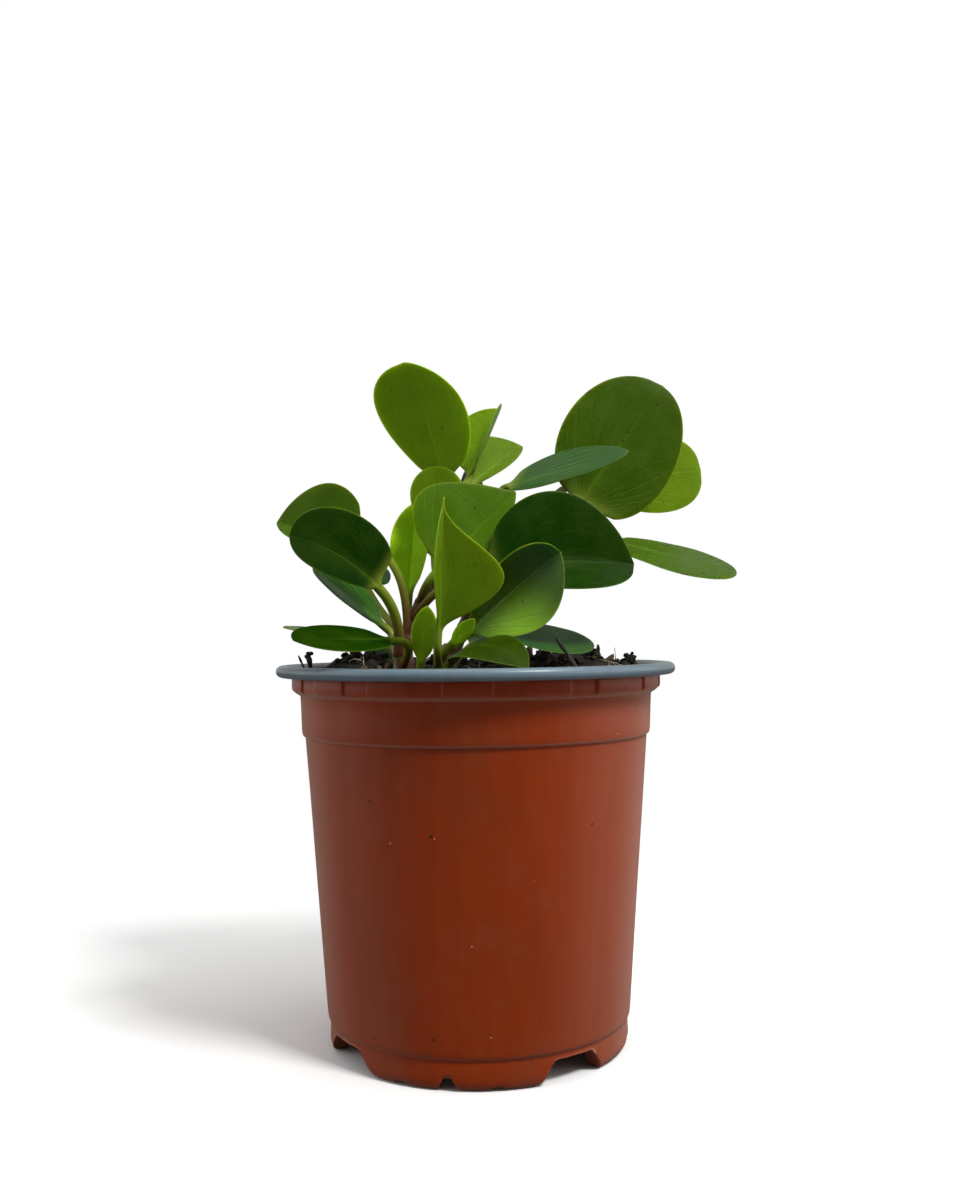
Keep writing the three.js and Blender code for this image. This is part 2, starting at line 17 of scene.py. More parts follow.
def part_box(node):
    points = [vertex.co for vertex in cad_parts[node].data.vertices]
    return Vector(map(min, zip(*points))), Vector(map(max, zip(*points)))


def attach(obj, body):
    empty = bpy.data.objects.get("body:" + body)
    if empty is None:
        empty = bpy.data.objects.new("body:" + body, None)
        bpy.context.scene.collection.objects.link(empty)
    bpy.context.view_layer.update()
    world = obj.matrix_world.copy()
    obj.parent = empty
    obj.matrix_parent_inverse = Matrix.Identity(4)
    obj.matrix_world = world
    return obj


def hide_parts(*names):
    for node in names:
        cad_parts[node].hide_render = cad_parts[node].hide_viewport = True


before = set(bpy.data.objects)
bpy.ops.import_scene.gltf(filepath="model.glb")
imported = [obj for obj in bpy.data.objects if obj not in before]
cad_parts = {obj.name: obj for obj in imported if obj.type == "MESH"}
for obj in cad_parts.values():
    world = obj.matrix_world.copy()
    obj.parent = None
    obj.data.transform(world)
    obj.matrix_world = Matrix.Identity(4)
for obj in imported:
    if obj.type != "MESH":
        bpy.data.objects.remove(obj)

bl_info = {
    "name": "Potted Peperomia",
    "version": (1, 0, 0),
    "blender": (4, 5, 0),
    "location": "View3D > Sidebar > Peperomia",
    "description": "Builds a young peperomia in a two-tone nursery pot",
    "category": "Add Mesh",
}

MM = 0.001
POT_LOW, POT_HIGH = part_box("pot")
POT_AXIS = Vector(((POT_LOW.x + POT_HIGH.x) / 2, (POT_LOW.y + POT_HIGH.y) / 2, 0))

# Each stem is a smooth line through these points, from inside the soil to its growing tip,
# in millimetres from the pot's axis.
STEMS = {
    "stem_left": {
        "points": [(-22.5, -8, 88), (-22.5, -8, 105), (-22.7, -8, 113.5), (-23.6, -6.5, 119)],
        "radii": (2.2, 1.5),
    },
    "stem_crown": {
        "points": [(-20.5, 0, 84), (-20.8, 0, 106), (-20.8, 0, 119), (-17.4, 1, 129.5),
                   (-12.9, 5, 137), (-8.2, 8, 148), (-3.8, 10, 167.5)],
        "radii": (2.3, 1.3),
    },
    "stem_right": {
        "points": [(-9.5, 5, 84), (-9, 5, 104), (-6, 6, 117), (-0.5, 8, 131), (5, 9.5, 146),
                   (13, 12, 157.5), (28.5, 14, 165)],
        "radii": (2.3, 1.4),
    },
    "stem_front": {
        "points": [(-11.5, -10, 88), (-11.3, -10, 105), (-10.6, -10.6, 112), (-9, -12.5, 117)],
        "radii": (2.2, 1.5),
    },
}

# Leaves, in millimetres and degrees. Two values are for the left and the right half.
# root: the stem and how far along its points the petiole starts, or a place in the soil.
# neck: where the petiole meets the blade. lead: how far it already heads along the blade there.
# stalk: the petiole's radius. base: the share of the blade over which the petiole flattens.
# width: twice the half's width. p and q: how pointed its outline is at the neck and at the tip.
# turn: the blade's turn about its midrib, from facing the front. bow and skew bend the midrib.
# fold: how far a half is folded up at the midrib. cup: how far it curls from there to its edge.
# tone: the leaf's age. shade: the tone that it has instead. light: how much lighter it is, partly the
# leaf's own tone and partly painted light and shade, lighter for leaves that lie in shade and darker for
# leaves that face the lamps.
# end: the tone towards the tip. half: how much painted light the right half has, where it faces the
# lamp.
# gloss and rough: how strong and how blurred its shine is. veins, specks: how far they show.
LEAVES = {
    "leaf_crown_round": dict(root=("stem_crown", 5.75), neck=(-8.5, 7, 166), tip=(-20.5, -8, 203),
        width=(29, 30), turn=-28, bow=-2, cup=12, p=(0.95, 0.85), q=(0.42, 0.7), light=2.2,
        shade="young", tone="green"),
    "leaf_crown_folded": dict(root=("stem_crown", 6), neck=(-1.5, 14, 170.5), tip=(9, 22, 194.5),
        width=(24, 28), turn=-56, fold=(30, 32), cup=(8, 5), q=0.55, light=1.5, specks=0.2,
        tone="young"),
    "leaf_crown_young": dict(root=("stem_crown", 5.6), neck=(-0.5, 20, 169.5), tip=(16, 36, 184.5),
        width=(28, 12), turn=-25, fold=(8, 20), cup=(5, 25), q=0.7, light=1.05, tone="young"),
    "leaf_crown_back": dict(root=("stem_crown", 5.35), neck=(-4, 20, 162), tip=(3, 46, 173),
        width=17, turn=40, tone="dark"),
    "leaf_crown_small": dict(root=("stem_crown", 5.1), neck=(-9.5, 4.6, 153.5), tip=(-12.5, 2, 173),
        width=17, turn=0, cup=(12, 8), p=0.6, light=1.5, shade="young", tone="green"),
    "leaf_middle_broad": dict(root=("stem_crown", 3.2), neck=(-11, -6, 140.5), tip=(13, 4, 165),
        base=0.12, width=(41, 16), turn=-36, fold=(36, -10), p=(0.7, 0.5), q=(1.05, 0.8), light=1.2,
        tone="green"),
    "leaf_middle_dark": dict(root=("stem_crown", 2.55), neck=(2, -9, 139.8), tip=(48, -5.5, 141.5),
        base=0.15, width=(44, 30), turn=-30, fold=(25, 15), cup=(0, 20), p=(0.8, 0.6),
        q=(0.85, 0.38), skew=-2, light=0.62, tone="dark"),
    "leaf_front_folded": dict(root=("stem_front", 1.95), neck=(-10.5, -26, 119),
        tip=(-8.5, -32, 159.5), width=(24, 36), turn=42, lead=0.35, fold=42, p=(2.4, 2.3),
        q=(1.8, 2.7), light=1.1, specks=1.2, tone="young"),
    "leaf_right_round": dict(root=("stem_right", 6), neck=(33.5, 16, 162), tip=(62, 24, 202),
        base=0.06, width=(40.5, 39), turn=0, fold=(-8, 0), p=(0.5, 0.36), q=(0.45, 0.48),
        light=0.72, veins=0.03, specks=1.2, tone="green"),
    "leaf_right_back": dict(root=("stem_right", 5.75), neck=(36.5, 28, 170.5), tip=(78, 44, 177),
        width=26, turn=0, q=0.4, light=1.4, tone="young"),
    "leaf_right_over": dict(root=("stem_right", 4.85), neck=(10.5, 12.3, 167.6),
        tip=(46.5, -8, 175.5), base=0.06, width=(31, 15), turn=-60, p=(0.45, 0.5), q=(0.8, 0.4),
        light=1.3, gloss=0.3, rough=0.62, veins=0.9, tone="dark"),
    "leaf_right_low": dict(root=("stem_right", 5.45), neck=(39, 5, 150), tip=(80, 0, 138.5),
        width=30, turn=-68, skew=-1.4, light=0.75, tone="green"),
    "leaf_front_cupped": dict(root=("stem_front", 3), neck=(-4, -13, 119.5), tip=(24.5, -28, 144),
        width=(17, 31), turn=-10, cup=(20, 30), fold=5, p=(1.1, 1.15), q=(0.5, 0.65), skew=-1,
        light=0.8, gloss=0.25, half=1.0, shade="green", end="dark", tone="dark"),
    "leaf_front_arched": dict(root=("stem_front", 1.5), neck=(-8, -19.5, 111.6),
        tip=(14.5, -40, 111.8), lead=0.3, width=19, turn=-72, bow=6.5, p=1, q=0.8, light=0.36,
        tone="green"),
    "leaf_front_bud": dict(root=("stem_front", 2.45), neck=(-6.5, -18.5, 118.5),
        tip=(0, -24, 125.5), width=4.6, turn=0, p=0.8, q=0.75, light=4.2, tone="young"),
    "leaf_front_small": dict(root=(-17.2, -15, 99), neck=(-16, -14.6, 112.5),
        tip=(-13.7, -17.2, 129.5), width=7.6, turn=0, p=0.9, q=0.7, light=2.2, tone="young"),
    "leaf_left_flat": dict(root=("stem_left", 1.6), neck=(-22.4, -19, 119.4), tip=(-49.5, -38, 120),
        width=(32, 20), turn=72, fold=8, p=(0.9, 0.6), q=(0.4, 0.5), light=0.54, gloss=0.0,
        tone="dark"),
    "leaf_left_edge": dict(root=("stem_crown", 1.5), neck=(-30.5, 8, 119), tip=(-60.5, 30, 124.5),
        width=24, turn=86, tone="green"),
    "leaf_left_slant": dict(root=("stem_left", 2.7), neck=(-26.5, -4, 123), tip=(-47.5, -14, 141),
        width=(13, 17), turn=66, fold=10, p=(0.8, 0.75), q=(0.45, 0.75), light=1.6, gloss=0.3, veins=0.8,
        tone="dark"),
    "leaf_left_front": dict(root=("stem_left", 2.2), neck=(-28, -16, 135), tip=(-51, -34, 149),
        stalk=1.5, base=0.08, width=(16, 27), turn=26, fold=12, p=(0.7, 0.3), q=(0.4, 0.45),
        skew=2.4, light=0.5, gloss=0.02, shade="dark", tone="green"),
    "leaf_left_back": dict(root=("stem_crown", 1.9), neck=(-33.5, 5, 149), tip=(-64, 22, 158),
        width=(16, 34), turn=30, fold=25, q=(0.8, 0.65), light=0.9, tone="green"),
    "leaf_left_young": dict(root=("stem_crown", 2.35), neck=(-20.5, 6, 132.5), tip=(-18, 11, 163),
        width=(14.5, 11), turn=-10, fold=20, p=0.9, q=0.7, light=4.2, tone="young"),
    "leaf_left_floor": dict(root=("stem_crown", 1.2), neck=(-22.5, 10, 113.5), tip=(-33, 28, 118),
        width=14, turn=25, tone="dark"),
    "leaf_right_floor": dict(root=("stem_right", 1.9), neck=(4, 2, 124.5), tip=(35.5, -6, 116.5),
        width=24, turn=-70, light=1.6, gloss=0.3, rough=0.6, tone="dark"),
    "leaf_back_right": dict(root=("stem_right", 2.8), neck=(4, 22, 136), tip=(26, 52, 150),
        width=30, turn=-70, bow=2, tone="green"),
    "leaf_back_middle": dict(root=("stem_crown", 4.3), neck=(-13, 20, 146), tip=(-15, 48, 161),
        width=24, turn=10, bow=2, tone="green"),
    "leaf_back_left": dict(root=("stem_crown", 2.1), neck=(-34, 20, 135), tip=(-50, 46, 150),
        width=30, turn=60, bow=2, tone="dark"),
    "leaf_back_low": dict(root=("stem_right", 1.5), neck=(-2, 20, 117), tip=(18, 48, 123), width=26,
        turn=-66, bow=3, tone="dark"),
}


def length(name, description, value):
    """A size property. Blender keeps lengths in metres."""
    return FloatProperty(name=name, description=description, default=value * MM, unit="LENGTH",
                         precision=5)


def colour(name, description, value):
    """A colour property, in linear red, green and blue."""
    return FloatVectorProperty(name=name, description=description, default=value, size=3,
                               min=0, max=1, subtype="COLOR")


class PotSettings(bpy.types.PropertyGroup):
    """Sizes and colours of the nursery pot."""
    rim_radius: FloatProperty(
        name="Rim radius", description="Half the width of the rolled rim", unit="LENGTH",
        default=(POT_HIGH.x - POT_LOW.x) / 2, precision=5)
    height: FloatProperty(
        name="Height", description="From the feet to the top of the rim", unit="LENGTH",
        default=POT_HIGH.z, precision=5)
    wall: length("Wall", "Thickness of the plastic wall", 1.2)
    rim_roll: length("Rim roll", "Radius of the rolled rim's section", 1.7)
    pads: IntProperty(name="Stacking pads", description="Raised pads under the rim",
                      default=16, min=0)
    sides: IntProperty(name="Sides", description="Steps round the pot, before the pads' own",
                       default=288, min=48)
    terracotta: colour("Terracotta", "Outside layer of the plastic", (0.265, 0.030, 0.001))
    lining: colour("Lining", "Inside layer of the plastic and the rim", (0.145, 0.205, 0.245))


class SoilSettings(bpy.types.PropertyGroup):
    """The peat and what lies on it."""
    level: length("Level", "Height of the soil beside the wall", 107.6)
    crumbs: IntProperty(name="Crumbs", description="Small crumbs of peat", default=760, min=0)
    chips: IntProperty(name="Bark chips", description="Bigger chips of bark", default=70, min=0)
    fibres: IntProperty(name="Fibres", description="Loose root fibres", default=70, min=0)
    peat: colour("Peat", "Damp peat", (0.009, 0.007, 0.006))
    bark: colour("Bark", "Chips of bark and wood", (0.075, 0.042, 0.020))
    twig: colour("Twig", "Dark twigs", (0.012, 0.010, 0.009))
    fibre: colour("Fibre", "Pale root fibres", (0.30, 0.24, 0.16))


class StemSettings(bpy.types.PropertyGroup):
    """The fleshy stems."""
    node_swelling: FloatProperty(name="Node swelling", description="How far a node stands out",
                                 default=0.2, min=0, subtype="FACTOR")
    sides: IntProperty(name="Sides", description="Steps round a stem", default=28, min=8)
    brown: colour("Brown", "Lower, older part of a stem", (0.075, 0.022, 0.010))
    green: colour("Green", "Upper, younger part of a stem", (0.10, 0.14, 0.012))


class LeafSettings(bpy.types.PropertyGroup):
    """Sizes and colours of the leaves."""
    thickness: length("Thickness", "Thickness of a blade", 0.9)
    stalk: length("Petiole radius", "Radius of a petiole", 1.2)
    columns: IntProperty(name="Columns", description="Steps across a blade", default=31, min=5)
    rings: IntProperty(name="Rings", description="Steps along a blade", default=56, min=8)
    young: colour("Young", "Tone of the youngest leaves", (0.085, 0.155, 0.003))
    green: colour("Green", "Tone of the grown leaves", (0.045, 0.105, 0.0005))
    dark: colour("Dark", "Tone of the oldest leaves", (0.007, 0.046, 0.0005))
    # Painted light: this paler tone stands for the lamp's light on the half of a leaf that faces it.
    half: colour("Painted lit half", "Painted light on the half of a leaf that faces the lamp", (0.26, 0.50, 0.03))
    vein: colour("Vein", "Midrib and veins", (0.20, 0.30, 0.03))
    petiole: colour("Petiole", "Petiole beside the blade", (0.17, 0.23, 0.02))
    petiole_end: colour("Petiole end", "Petiole beside the stem", (0.13, 0.050, 0.022))


class StageSettings(bpy.types.PropertyGroup):
    """Floor, light and camera."""
    sky: FloatProperty(name="Sky", description="Brightness of the white surroundings",
                       default=0.6, min=0)
    front: FloatProperty(name="Front", description="Brightness of the side behind the camera",
                         default=0.14, min=0)
    beside: FloatProperty(name="Beside", description="Brightness to the left and the right",
                          default=1.9, min=0)
    lamp: FloatProperty(name="Lamp", description="Power of the soft light above", default=1.6,
                        min=0, unit="POWER")
    key: FloatProperty(name="Key", description="Power of the soft light in front on the right",
                       default=9.5, min=0, unit="POWER")
    bounce: colour("Bounce", "Tone of the floor in what it throws back at the plant",
                   (0.20, 0.20, 0.20))
    lens: FloatProperty(name="Lens", description="Focal length on a 36 mm frame, millimetres",
                        default=35.1, min=1)
    floor: colour("Floor", "Tone of the floor", (0.93, 0.93, 0.92))


# Nodes

class Wiring:
    """Adds shader nodes to one tree. A socket given as a value is linked, and others are set."""

    def __init__(self, tree):
        self.tree = tree

    def node(self, kind, values=(), **settings):
        made = self.tree.nodes.new("ShaderNode" + kind)
        for key, value in settings.items():
            setattr(made, key, value)
        for key, value in dict(values).items():
            socket = made.inputs[key]
            if isinstance(value, bpy.types.NodeSocket):
                self.link(value, socket)
            elif socket.type == "RGBA" and len(value) == 3:
                socket.default_value = (*value, 1)
            else:
                socket.default_value = value
        return made

    def math(self, operation, a, b=0.0, c=0.0, clamp=False):
        return self.node("Math", {0: a, 1: b, 2: c}, operation=operation,
                         use_clamp=clamp).outputs[0]

    def mix(self, factor, a, b):
        return self.node("Mix", {0: factor, 6: a, 7: b}, data_type="RGBA").outputs[2]

    def tint(self, tone, other, mask, amount):
        """tone with an amount of another tone where the mask is."""
        return self.mix(self.math("MULTIPLY", mask, amount), tone, other)

    def shade(self, tone, factor):
        """tone times a factor that changes over the surface."""
        grey = self.node("CombineColor", {k: factor for k in range(3)}).outputs[0]
        return self.node("Mix", {0: 1.0, 6: tone, 7: grey}, data_type="RGBA",
                         blend_type="MULTIPLY").outputs[2]

    def step(self, value, start, end, low=0.0, high=1.0):
        """low where value is at start, high where it is at end, and smooth between them."""
        return self.node("MapRange", {"Value": value, "From Min": start, "From Max": end,
                                      "To Min": low, "To Max": high},
                         interpolation_type="SMOOTHSTEP").outputs[0]

    def noise(self, place, scale, detail=3.0, rough=0.5):
        return self.node("TexNoise", {"Vector": place, "Scale": scale, "Detail": detail,
                                      "Roughness": rough}).outputs[0]

    def spots(self, place, scale, size, share):
        """Round spots, size across in cells, in a share of the cells."""
        cells = self.node("TexVoronoi", {"Vector": place, "Scale": scale})
        chosen = self.node("SeparateColor", {"Color": cells.outputs["Color"]}).outputs[0]
        return self.math("MULTIPLY", self.step(cells.outputs["Distance"], size, 0.6 * size),
                         self.math("LESS_THAN", chosen, share))

    def link(self, output, into):
        self.tree.links.new(output, into)

    def surface(self, shader, tone, rough, height, bump):
        """Links a surface to its shader. bump: what a height of 1 is, in millimetres."""
        raised = self.node("Bump", {"Strength": 1.0, "Distance": bump * MM, "Height": height})
        self.link(tone, shader.inputs["Base Color"])
        self.link(rough, shader.inputs["Roughness"])
        self.link(raised.outputs[0], shader.inputs["Normal"])


def shader_group(name, inputs, outputs, fill):
    """A node group with named inputs and outputs. fill(wiring, given) returns what it puts out."""
    tree = bpy.data.node_groups.new(name, "ShaderNodeTree")
    for label, value in inputs.items():
        kind = "NodeSocketColor" if isinstance(value, tuple) else "NodeSocketFloat"
        socket = tree.interface.new_socket(name=label, in_out="INPUT", socket_type=kind)
        socket.default_value = (*value, 1) if isinstance(value, tuple) else value
    for label, kind in outputs.items():
        tree.interface.new_socket(name=label, in_out="OUTPUT", socket_type="NodeSocket" + kind)
    wiring = Wiring(tree)
    given = tree.nodes.new("NodeGroupInput").outputs
    result = tree.nodes.new("NodeGroupOutput").inputs
    for label, socket in fill(wiring, given).items():
        tree.links.new(socket, result[label])
    return tree


def plastic_wear(w, given):
    """Cast plastic: soft mottling, faint draw lines, dust, grains of dirt and a fine orange peel."""
    place = w.node("TexCoord").outputs["Object"]
    long = w.node("Mapping", {"Vector": place, "Scale": (1.0, 1.0, 0.06)}).outputs[0]
    broad = w.noise(place, 22.0, 2.0)
    drawn = w.noise(long, 320.0, 3.0)
    fine = w.noise(place, 900.0, 4.0)
    dust = w.math("MULTIPLY", given["Dust"], w.step(w.noise(place, 90.0, 5.0, 0.65), 0.45, 0.8))
    tone = w.mix(w.step(broad, 0.35, 0.68), given["Colour"], given["Mottle"])
    tone = w.shade(tone, w.step(drawn, 0.3, 0.7, 0.95, 1.04))
    tone = w.mix(dust, tone, given["Dust colour"])
    dirt = w.math("MULTIPLY", given["Dirt"], w.spots(place, 300.0, 0.16, 0.035))
    grit = w.math("MULTIPLY", given["Dirt"], w.spots(place, 420.0, 0.12, 0.03))
    tone = w.mix(dirt, tone, (0.02, 0.008, 0.005))
    tone = w.tint(tone, (0.55, 0.45, 0.33), grit, 0.7)
    rough = w.math("ADD", given["Roughness"], w.math("MULTIPLY", dust, 0.25))
    rough = w.math("ADD", rough, w.step(fine, 0.3, 0.7, -0.03, 0.03), clamp=True)
    height = w.math("ADD", w.math("MULTIPLY", fine, 0.03), w.math("MULTIPLY", drawn, 0.05))
    height = w.math("ADD", height, w.math("MULTIPLY", dirt, 0.12))
    return {"Colour": tone, "Roughness": rough, "Height": height}


WIDTH_UNIT = 20


def blade_lines(w, here, along, across, from_rib, from_edge):
    """The midrib, and the veins that leave it one after another and curve towards the tip."""
    wander = w.noise(here, 160.0, 2.0)
    spread = w.math("DIVIDE", across, w.math("ADD", w.math("MAXIMUM", along, 0.0), 0.16))
    spread = w.math("ADD", spread, w.math("MULTIPLY", wander, 0.22))
    wave = w.math("PINGPONG", w.math("MULTIPLY", spread, 2.9), 0.5)
    vein = w.step(wave, 0.0, 0.16, 1.0, 0.0)
    vein = w.math("MULTIPLY", vein, w.step(from_edge, 0.6, 3.0))
    vein = w.math("MULTIPLY", vein, w.step(along, 0.9, 0.45, 0.3, 1.0))
    vein = w.math("MULTIPLY", vein, w.step(along, 0.02, 0.12))
    rib = w.step(from_rib, w.step(along, 0.0, 0.9, 1.15, 0.35), 0.12)
    rib = w.math("MULTIPLY", rib, w.step(along, 0.98, 0.35, 0.2, 1.0))
    return rib, vein


def upper_tone(w, given, sideways, along, from_rib, from_edge, rib, vein, cloud):
    """The blade's upper side: mottled, with its tip, painted light on its right half, its lines and its
    margin.
    """
    tone = w.mix(w.step(cloud, 0.3, 0.72), given["Blade"], given["Mottle"])
    tone = w.tint(tone, given["Tip"], w.step(along, 0.35, 1.0), given["Tip amount"])
    # Painted light: the right half turns paler where it faces the lamp, most a little way up the blade
    # and less towards the tip.
    paler = w.math("MULTIPLY", w.step(sideways, 0.42, 0.85), w.step(along, 0.0, 0.4))
    paler = w.math("MULTIPLY", paler, w.step(along, 0.4, 0.85, 1.0, 0.15))
    tone = w.tint(tone, given["Half"], paler, given["Half amount"])
    broad_rib = w.math("MULTIPLY", w.step(from_rib, 3.6, 0.2), w.step(along, 0.75, 0.0))
    tone = w.tint(tone, given["Vein"], broad_rib, 0.25)
    tone = w.tint(tone, given["Vein"], vein, given["Vein amount"])
    tone = w.tint(tone, given["Vein"], rib, given["Rib amount"])
    return w.tint(tone, given["Margin"], w.step(from_edge, 0.55, 0.1), 0.45)


def leaf_tissue(w, given):
    """A waxy leaf: midrib, curved veins, pale margin, mottling, specks, underside and petiole.
    The map "blade" runs across and along the blade, with the petiole below 0. The map "place" has
    the side, 1 for the upper, and half the blade's width in units of WIDTH_UNIT millimetres."""
    blade = w.node("SeparateXYZ", {0: w.node("UVMap", uv_map="blade").outputs[0]})
    place = w.node("SeparateXYZ", {0: w.node("UVMap", uv_map="place").outputs[0]})
    sideways, along, upper = blade.outputs["X"], blade.outputs["Y"], place.outputs["X"]
    here = w.node("TexCoord").outputs["Object"]
    across = w.math("ABSOLUTE", w.math("MULTIPLY_ADD", sideways, 2.0, -1.0))
    half = w.math("MULTIPLY", place.outputs["Y"], WIDTH_UNIT)
    from_rib = w.math("MULTIPLY", across, half)
    from_edge = w.math("SUBTRACT", half, from_rib)
    cloud = w.noise(here, 130.0, 3.0)
    grain = w.noise(here, 1500.0, 3.0, 0.6)
    rib, vein = blade_lines(w, here, along, across, from_rib, from_edge)

    tone = upper_tone(w, given, sideways, along, from_rib, from_edge, rib, vein, cloud)
    tone = w.shade(tone, w.step(grain, 0.25, 0.75, 0.9, 1.08))
    tone = w.mix(upper, w.tint(given["Underside"], given["Vein"], rib, 0.5), tone)
    speck = w.math("MULTIPLY", w.spots(here, 520.0, 0.2, 0.05), given["Specks"])
    tone = w.mix(speck, tone, (0.012, 0.012, 0.004))
    mark = w.math("MULTIPLY", w.step(from_edge, 0.9, 0.3), w.spots(here, 240.0, 0.3, 0.2))
    tone = w.tint(tone, (0.05, 0.03, 0.01), mark, given["Specks"])
    stalk = w.mix(w.step(along, -0.25, -1.0), given["Petiole"], given["Petiole end"])
    stalk = w.tint(stalk, (0.05, 0.02, 0.01), speck, 0.5)
    tone = w.mix(w.step(along, 0.16, -0.02), tone, stalk)

    rough = w.step(upper, 0.0, 1.0, 0.5, given["Roughness"])
    rough = w.math("ADD", rough, w.step(cloud, 0.3, 0.7, -0.05, 0.07))
    rough = w.math("ADD", rough, w.step(grain, 0.3, 0.7, -0.03, 0.03), clamp=True)
    groove = w.math("MULTIPLY", w.math("ADD", rib, w.math("MULTIPLY", vein, 0.3)),
                    w.step(upper, 0.0, 1.0, 0.18, -0.16))
    height = w.math("ADD", groove, w.math("MULTIPLY", grain, 0.035))
    height = w.math("ADD", height, w.math("MULTIPLY", w.noise(here, 420.0, 2.0), 0.07))
    return {"Colour": tone, "Roughness": rough, "Height": height}


def earth(w, given):
    """Crumbly ground: each crumb has its own tone, with pale grains and a rough surface."""
    place = w.node("TexCoord").outputs["Object"]
    lump = w.noise(place, 260.0, 5.0, 0.7)
    grain = w.noise(place, 1700.0, 4.0, 0.7)
    cells = w.node("TexVoronoi", {"Vector": place, "Scale": 480.0})
    own = w.node("SeparateColor", {"Color": cells.outputs["Color"]}).outputs[0]
    tone = w.mix(w.step(lump, 0.35, 0.7), given["Colour"], given["Dry colour"])
    tone = w.tint(tone, given["Dry colour"], w.step(own, 0.6, 1.0), 0.5)
    tone = w.tint(tone, (0.28, 0.20, 0.11), w.spots(place, 800.0, 0.25, 0.06), given["Pale grains"])
    rough = w.step(lump, 0.3, 0.7, 0.95, 0.7)
    height = w.math("ADD", w.math("MULTIPLY", lump, 0.8), w.math("MULTIPLY", grain, 0.3))
    return {"Colour": tone, "Roughness": rough, "Height": height}


SURFACE = {"Colour": "Color", "Roughness": "Float", "Height": "Float"}
GROUPS = {
    "Plastic wear": (plastic_wear, {
        "Colour": (0.25, 0.04, 0.01), "Mottle": (0.2, 0.04, 0.01), "Dust colour": (0.4, 0.25, 0.18),
        "Roughness": 0.4, "Dust": 0.2, "Dirt": 1.0}),
    "Leaf tissue": (leaf_tissue, {
        "Blade": (0.1, 0.2, 0.01), "Mottle": (0.12, 0.22, 0.01), "Tip": (0.1, 0.2, 0.01),
        "Vein": (0.3, 0.4, 0.1), "Margin": (0.3, 0.4, 0.1), "Underside": (0.2, 0.3, 0.1),
        "Petiole": (0.2, 0.3, 0.03), "Petiole end": (0.2, 0.1, 0.03), "Tip amount": 0.3,
        "Half": (0.2, 0.3, 0.1), "Half amount": 0.0,
        "Vein amount": 0.2, "Rib amount": 0.5, "Specks": 1.0, "Roughness": 0.3}),
    "Crumbly earth": (earth, {
        "Colour": (0.02, 0.015, 0.01), "Dry colour": (0.05, 0.035, 0.02), "Pale grains": 1.0}),
}


def surface_group(name):
    """The named shader group, made the first time it is asked for."""
    found = bpy.data.node_groups.get(name)
    if found:
        return found
    fill, inputs = GROUPS[name]
    return shader_group(name, inputs, SURFACE, fill)


def blank_material(name):
    """A new material with the wiring of its nodes and its shader."""
    made = bpy.data.materials.new(name)
    made.use_nodes = True
    return made, Wiring(made.node_tree), made.node_tree.nodes["Principled BSDF"]


def new_material(name, group, values, shine=(), bump=1.0):
    """A Principled material whose colour, roughness and bump come from a group. bump: what 1 is in
    the group's Height, in millimetres."""
    made, w, shader = blank_material(name)
    effect = w.node("Group", node_tree=surface_group(group))
    for key, value in values.items():
        effect.inputs[key].default_value = (*value, 1) if isinstance(value, tuple) else value
    w.surface(shader, *(effect.outputs[label] for label in SURFACE), bump)
    for key, value in dict(shine).items():
        shader.inputs[key].default_value = value
    return made


# How soft the edges of the painted lip highlights are, in millimetres, and how strong they are.
LIP_EDGE = 0.25
LIP_HIGHLIGHT_AMOUNT = 0.3


def painted_grazing_light_and_shade(material, tone, near, far, lips=()):
    """Mixes in a tone where the surface turns away from the eye, as painted reflection where the tone is
    pale and painted shade where it is dark, and a painted highlight along moulded lips (mm).
    """
    w = Wiring(material.node_tree)
    base = material.node_tree.nodes["Principled BSDF"].inputs["Base Color"]
    facing = w.node("LayerWeight").outputs["Facing"]
    share = w.math("ADD", w.step(facing, 0.1, 0.4, 0, near), w.step(facing, 0.4, 0.9, 0, far))
    place = w.node("TexCoord").outputs["Object"]
    height = w.node("SeparateXYZ", {0: place}).outputs["Z"]
    for low, high in lips:
        lip_highlight = w.math("MULTIPLY",
                      w.step(height, (low - LIP_EDGE) * MM, (low + LIP_EDGE) * MM, 0, LIP_HIGHLIGHT_AMOUNT),
                      w.step(height, (high - LIP_EDGE) * MM, (high + LIP_EDGE) * MM, 1, 0))
        share = w.math("ADD", share, lip_highlight, clamp=True)
    w.link(w.mix(share, base.links[0].from_socket, tone), base)


# Meshes

class Heap:
    """What one piece is made of: places in millimetres from the pot's axis, faces, and the number
    of each face's material where there are more than one."""

    def __init__(self):
        self.places = []
        self.faces = []
        self.owners = []

    def give(self, owner):
        """Gives the faces that have no owner yet to a material."""
        self.owners += [owner] * (len(self.faces) - len(self.owners))


def new_piece(name, node, heap, materials, maps=()):
    """Makes a piece of a heap, in place of its node. maps: each map's name, and what gives its
    coordinates for the corners of a face."""
    mesh = bpy.data.meshes.new(name)
    mesh.from_pydata([POT_AXIS + Vector(p) * MM for p in heap.places], [], heap.faces)
    for one in materials:
        mesh.materials.append(one)
    if heap.owners:
        mesh.polygons.foreach_set("material_index", heap.owners)
    for label, corner in dict(maps).items():
        layer = mesh.uv_layers.new(name=label)
        flat = [x for polygon in mesh.polygons for x in corner(polygon)]
        layer.data.foreach_set("uv", flat)
    mesh.polygons.foreach_set("use_smooth", [True] * len(mesh.polygons))
    mesh.validate()
    mesh.update()
    made = bpy.data.objects.new(name, mesh)
    bpy.context.scene.collection.objects.link(made)
    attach(made, "root")
    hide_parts(node)


def smooth(value, start, end):
    """0 where value is at start, 1 where it is at end, and smooth between them."""
    t = min(max((value - start) / (end - start), 0), 1)
    return t * t * (3 - 2 * t)


def lerp(a, b, t):
    return a + (b - a) * t


def pair(value):
    """A value for the left and one for the right half."""
    return value if isinstance(value, (tuple, list)) else (value, value)


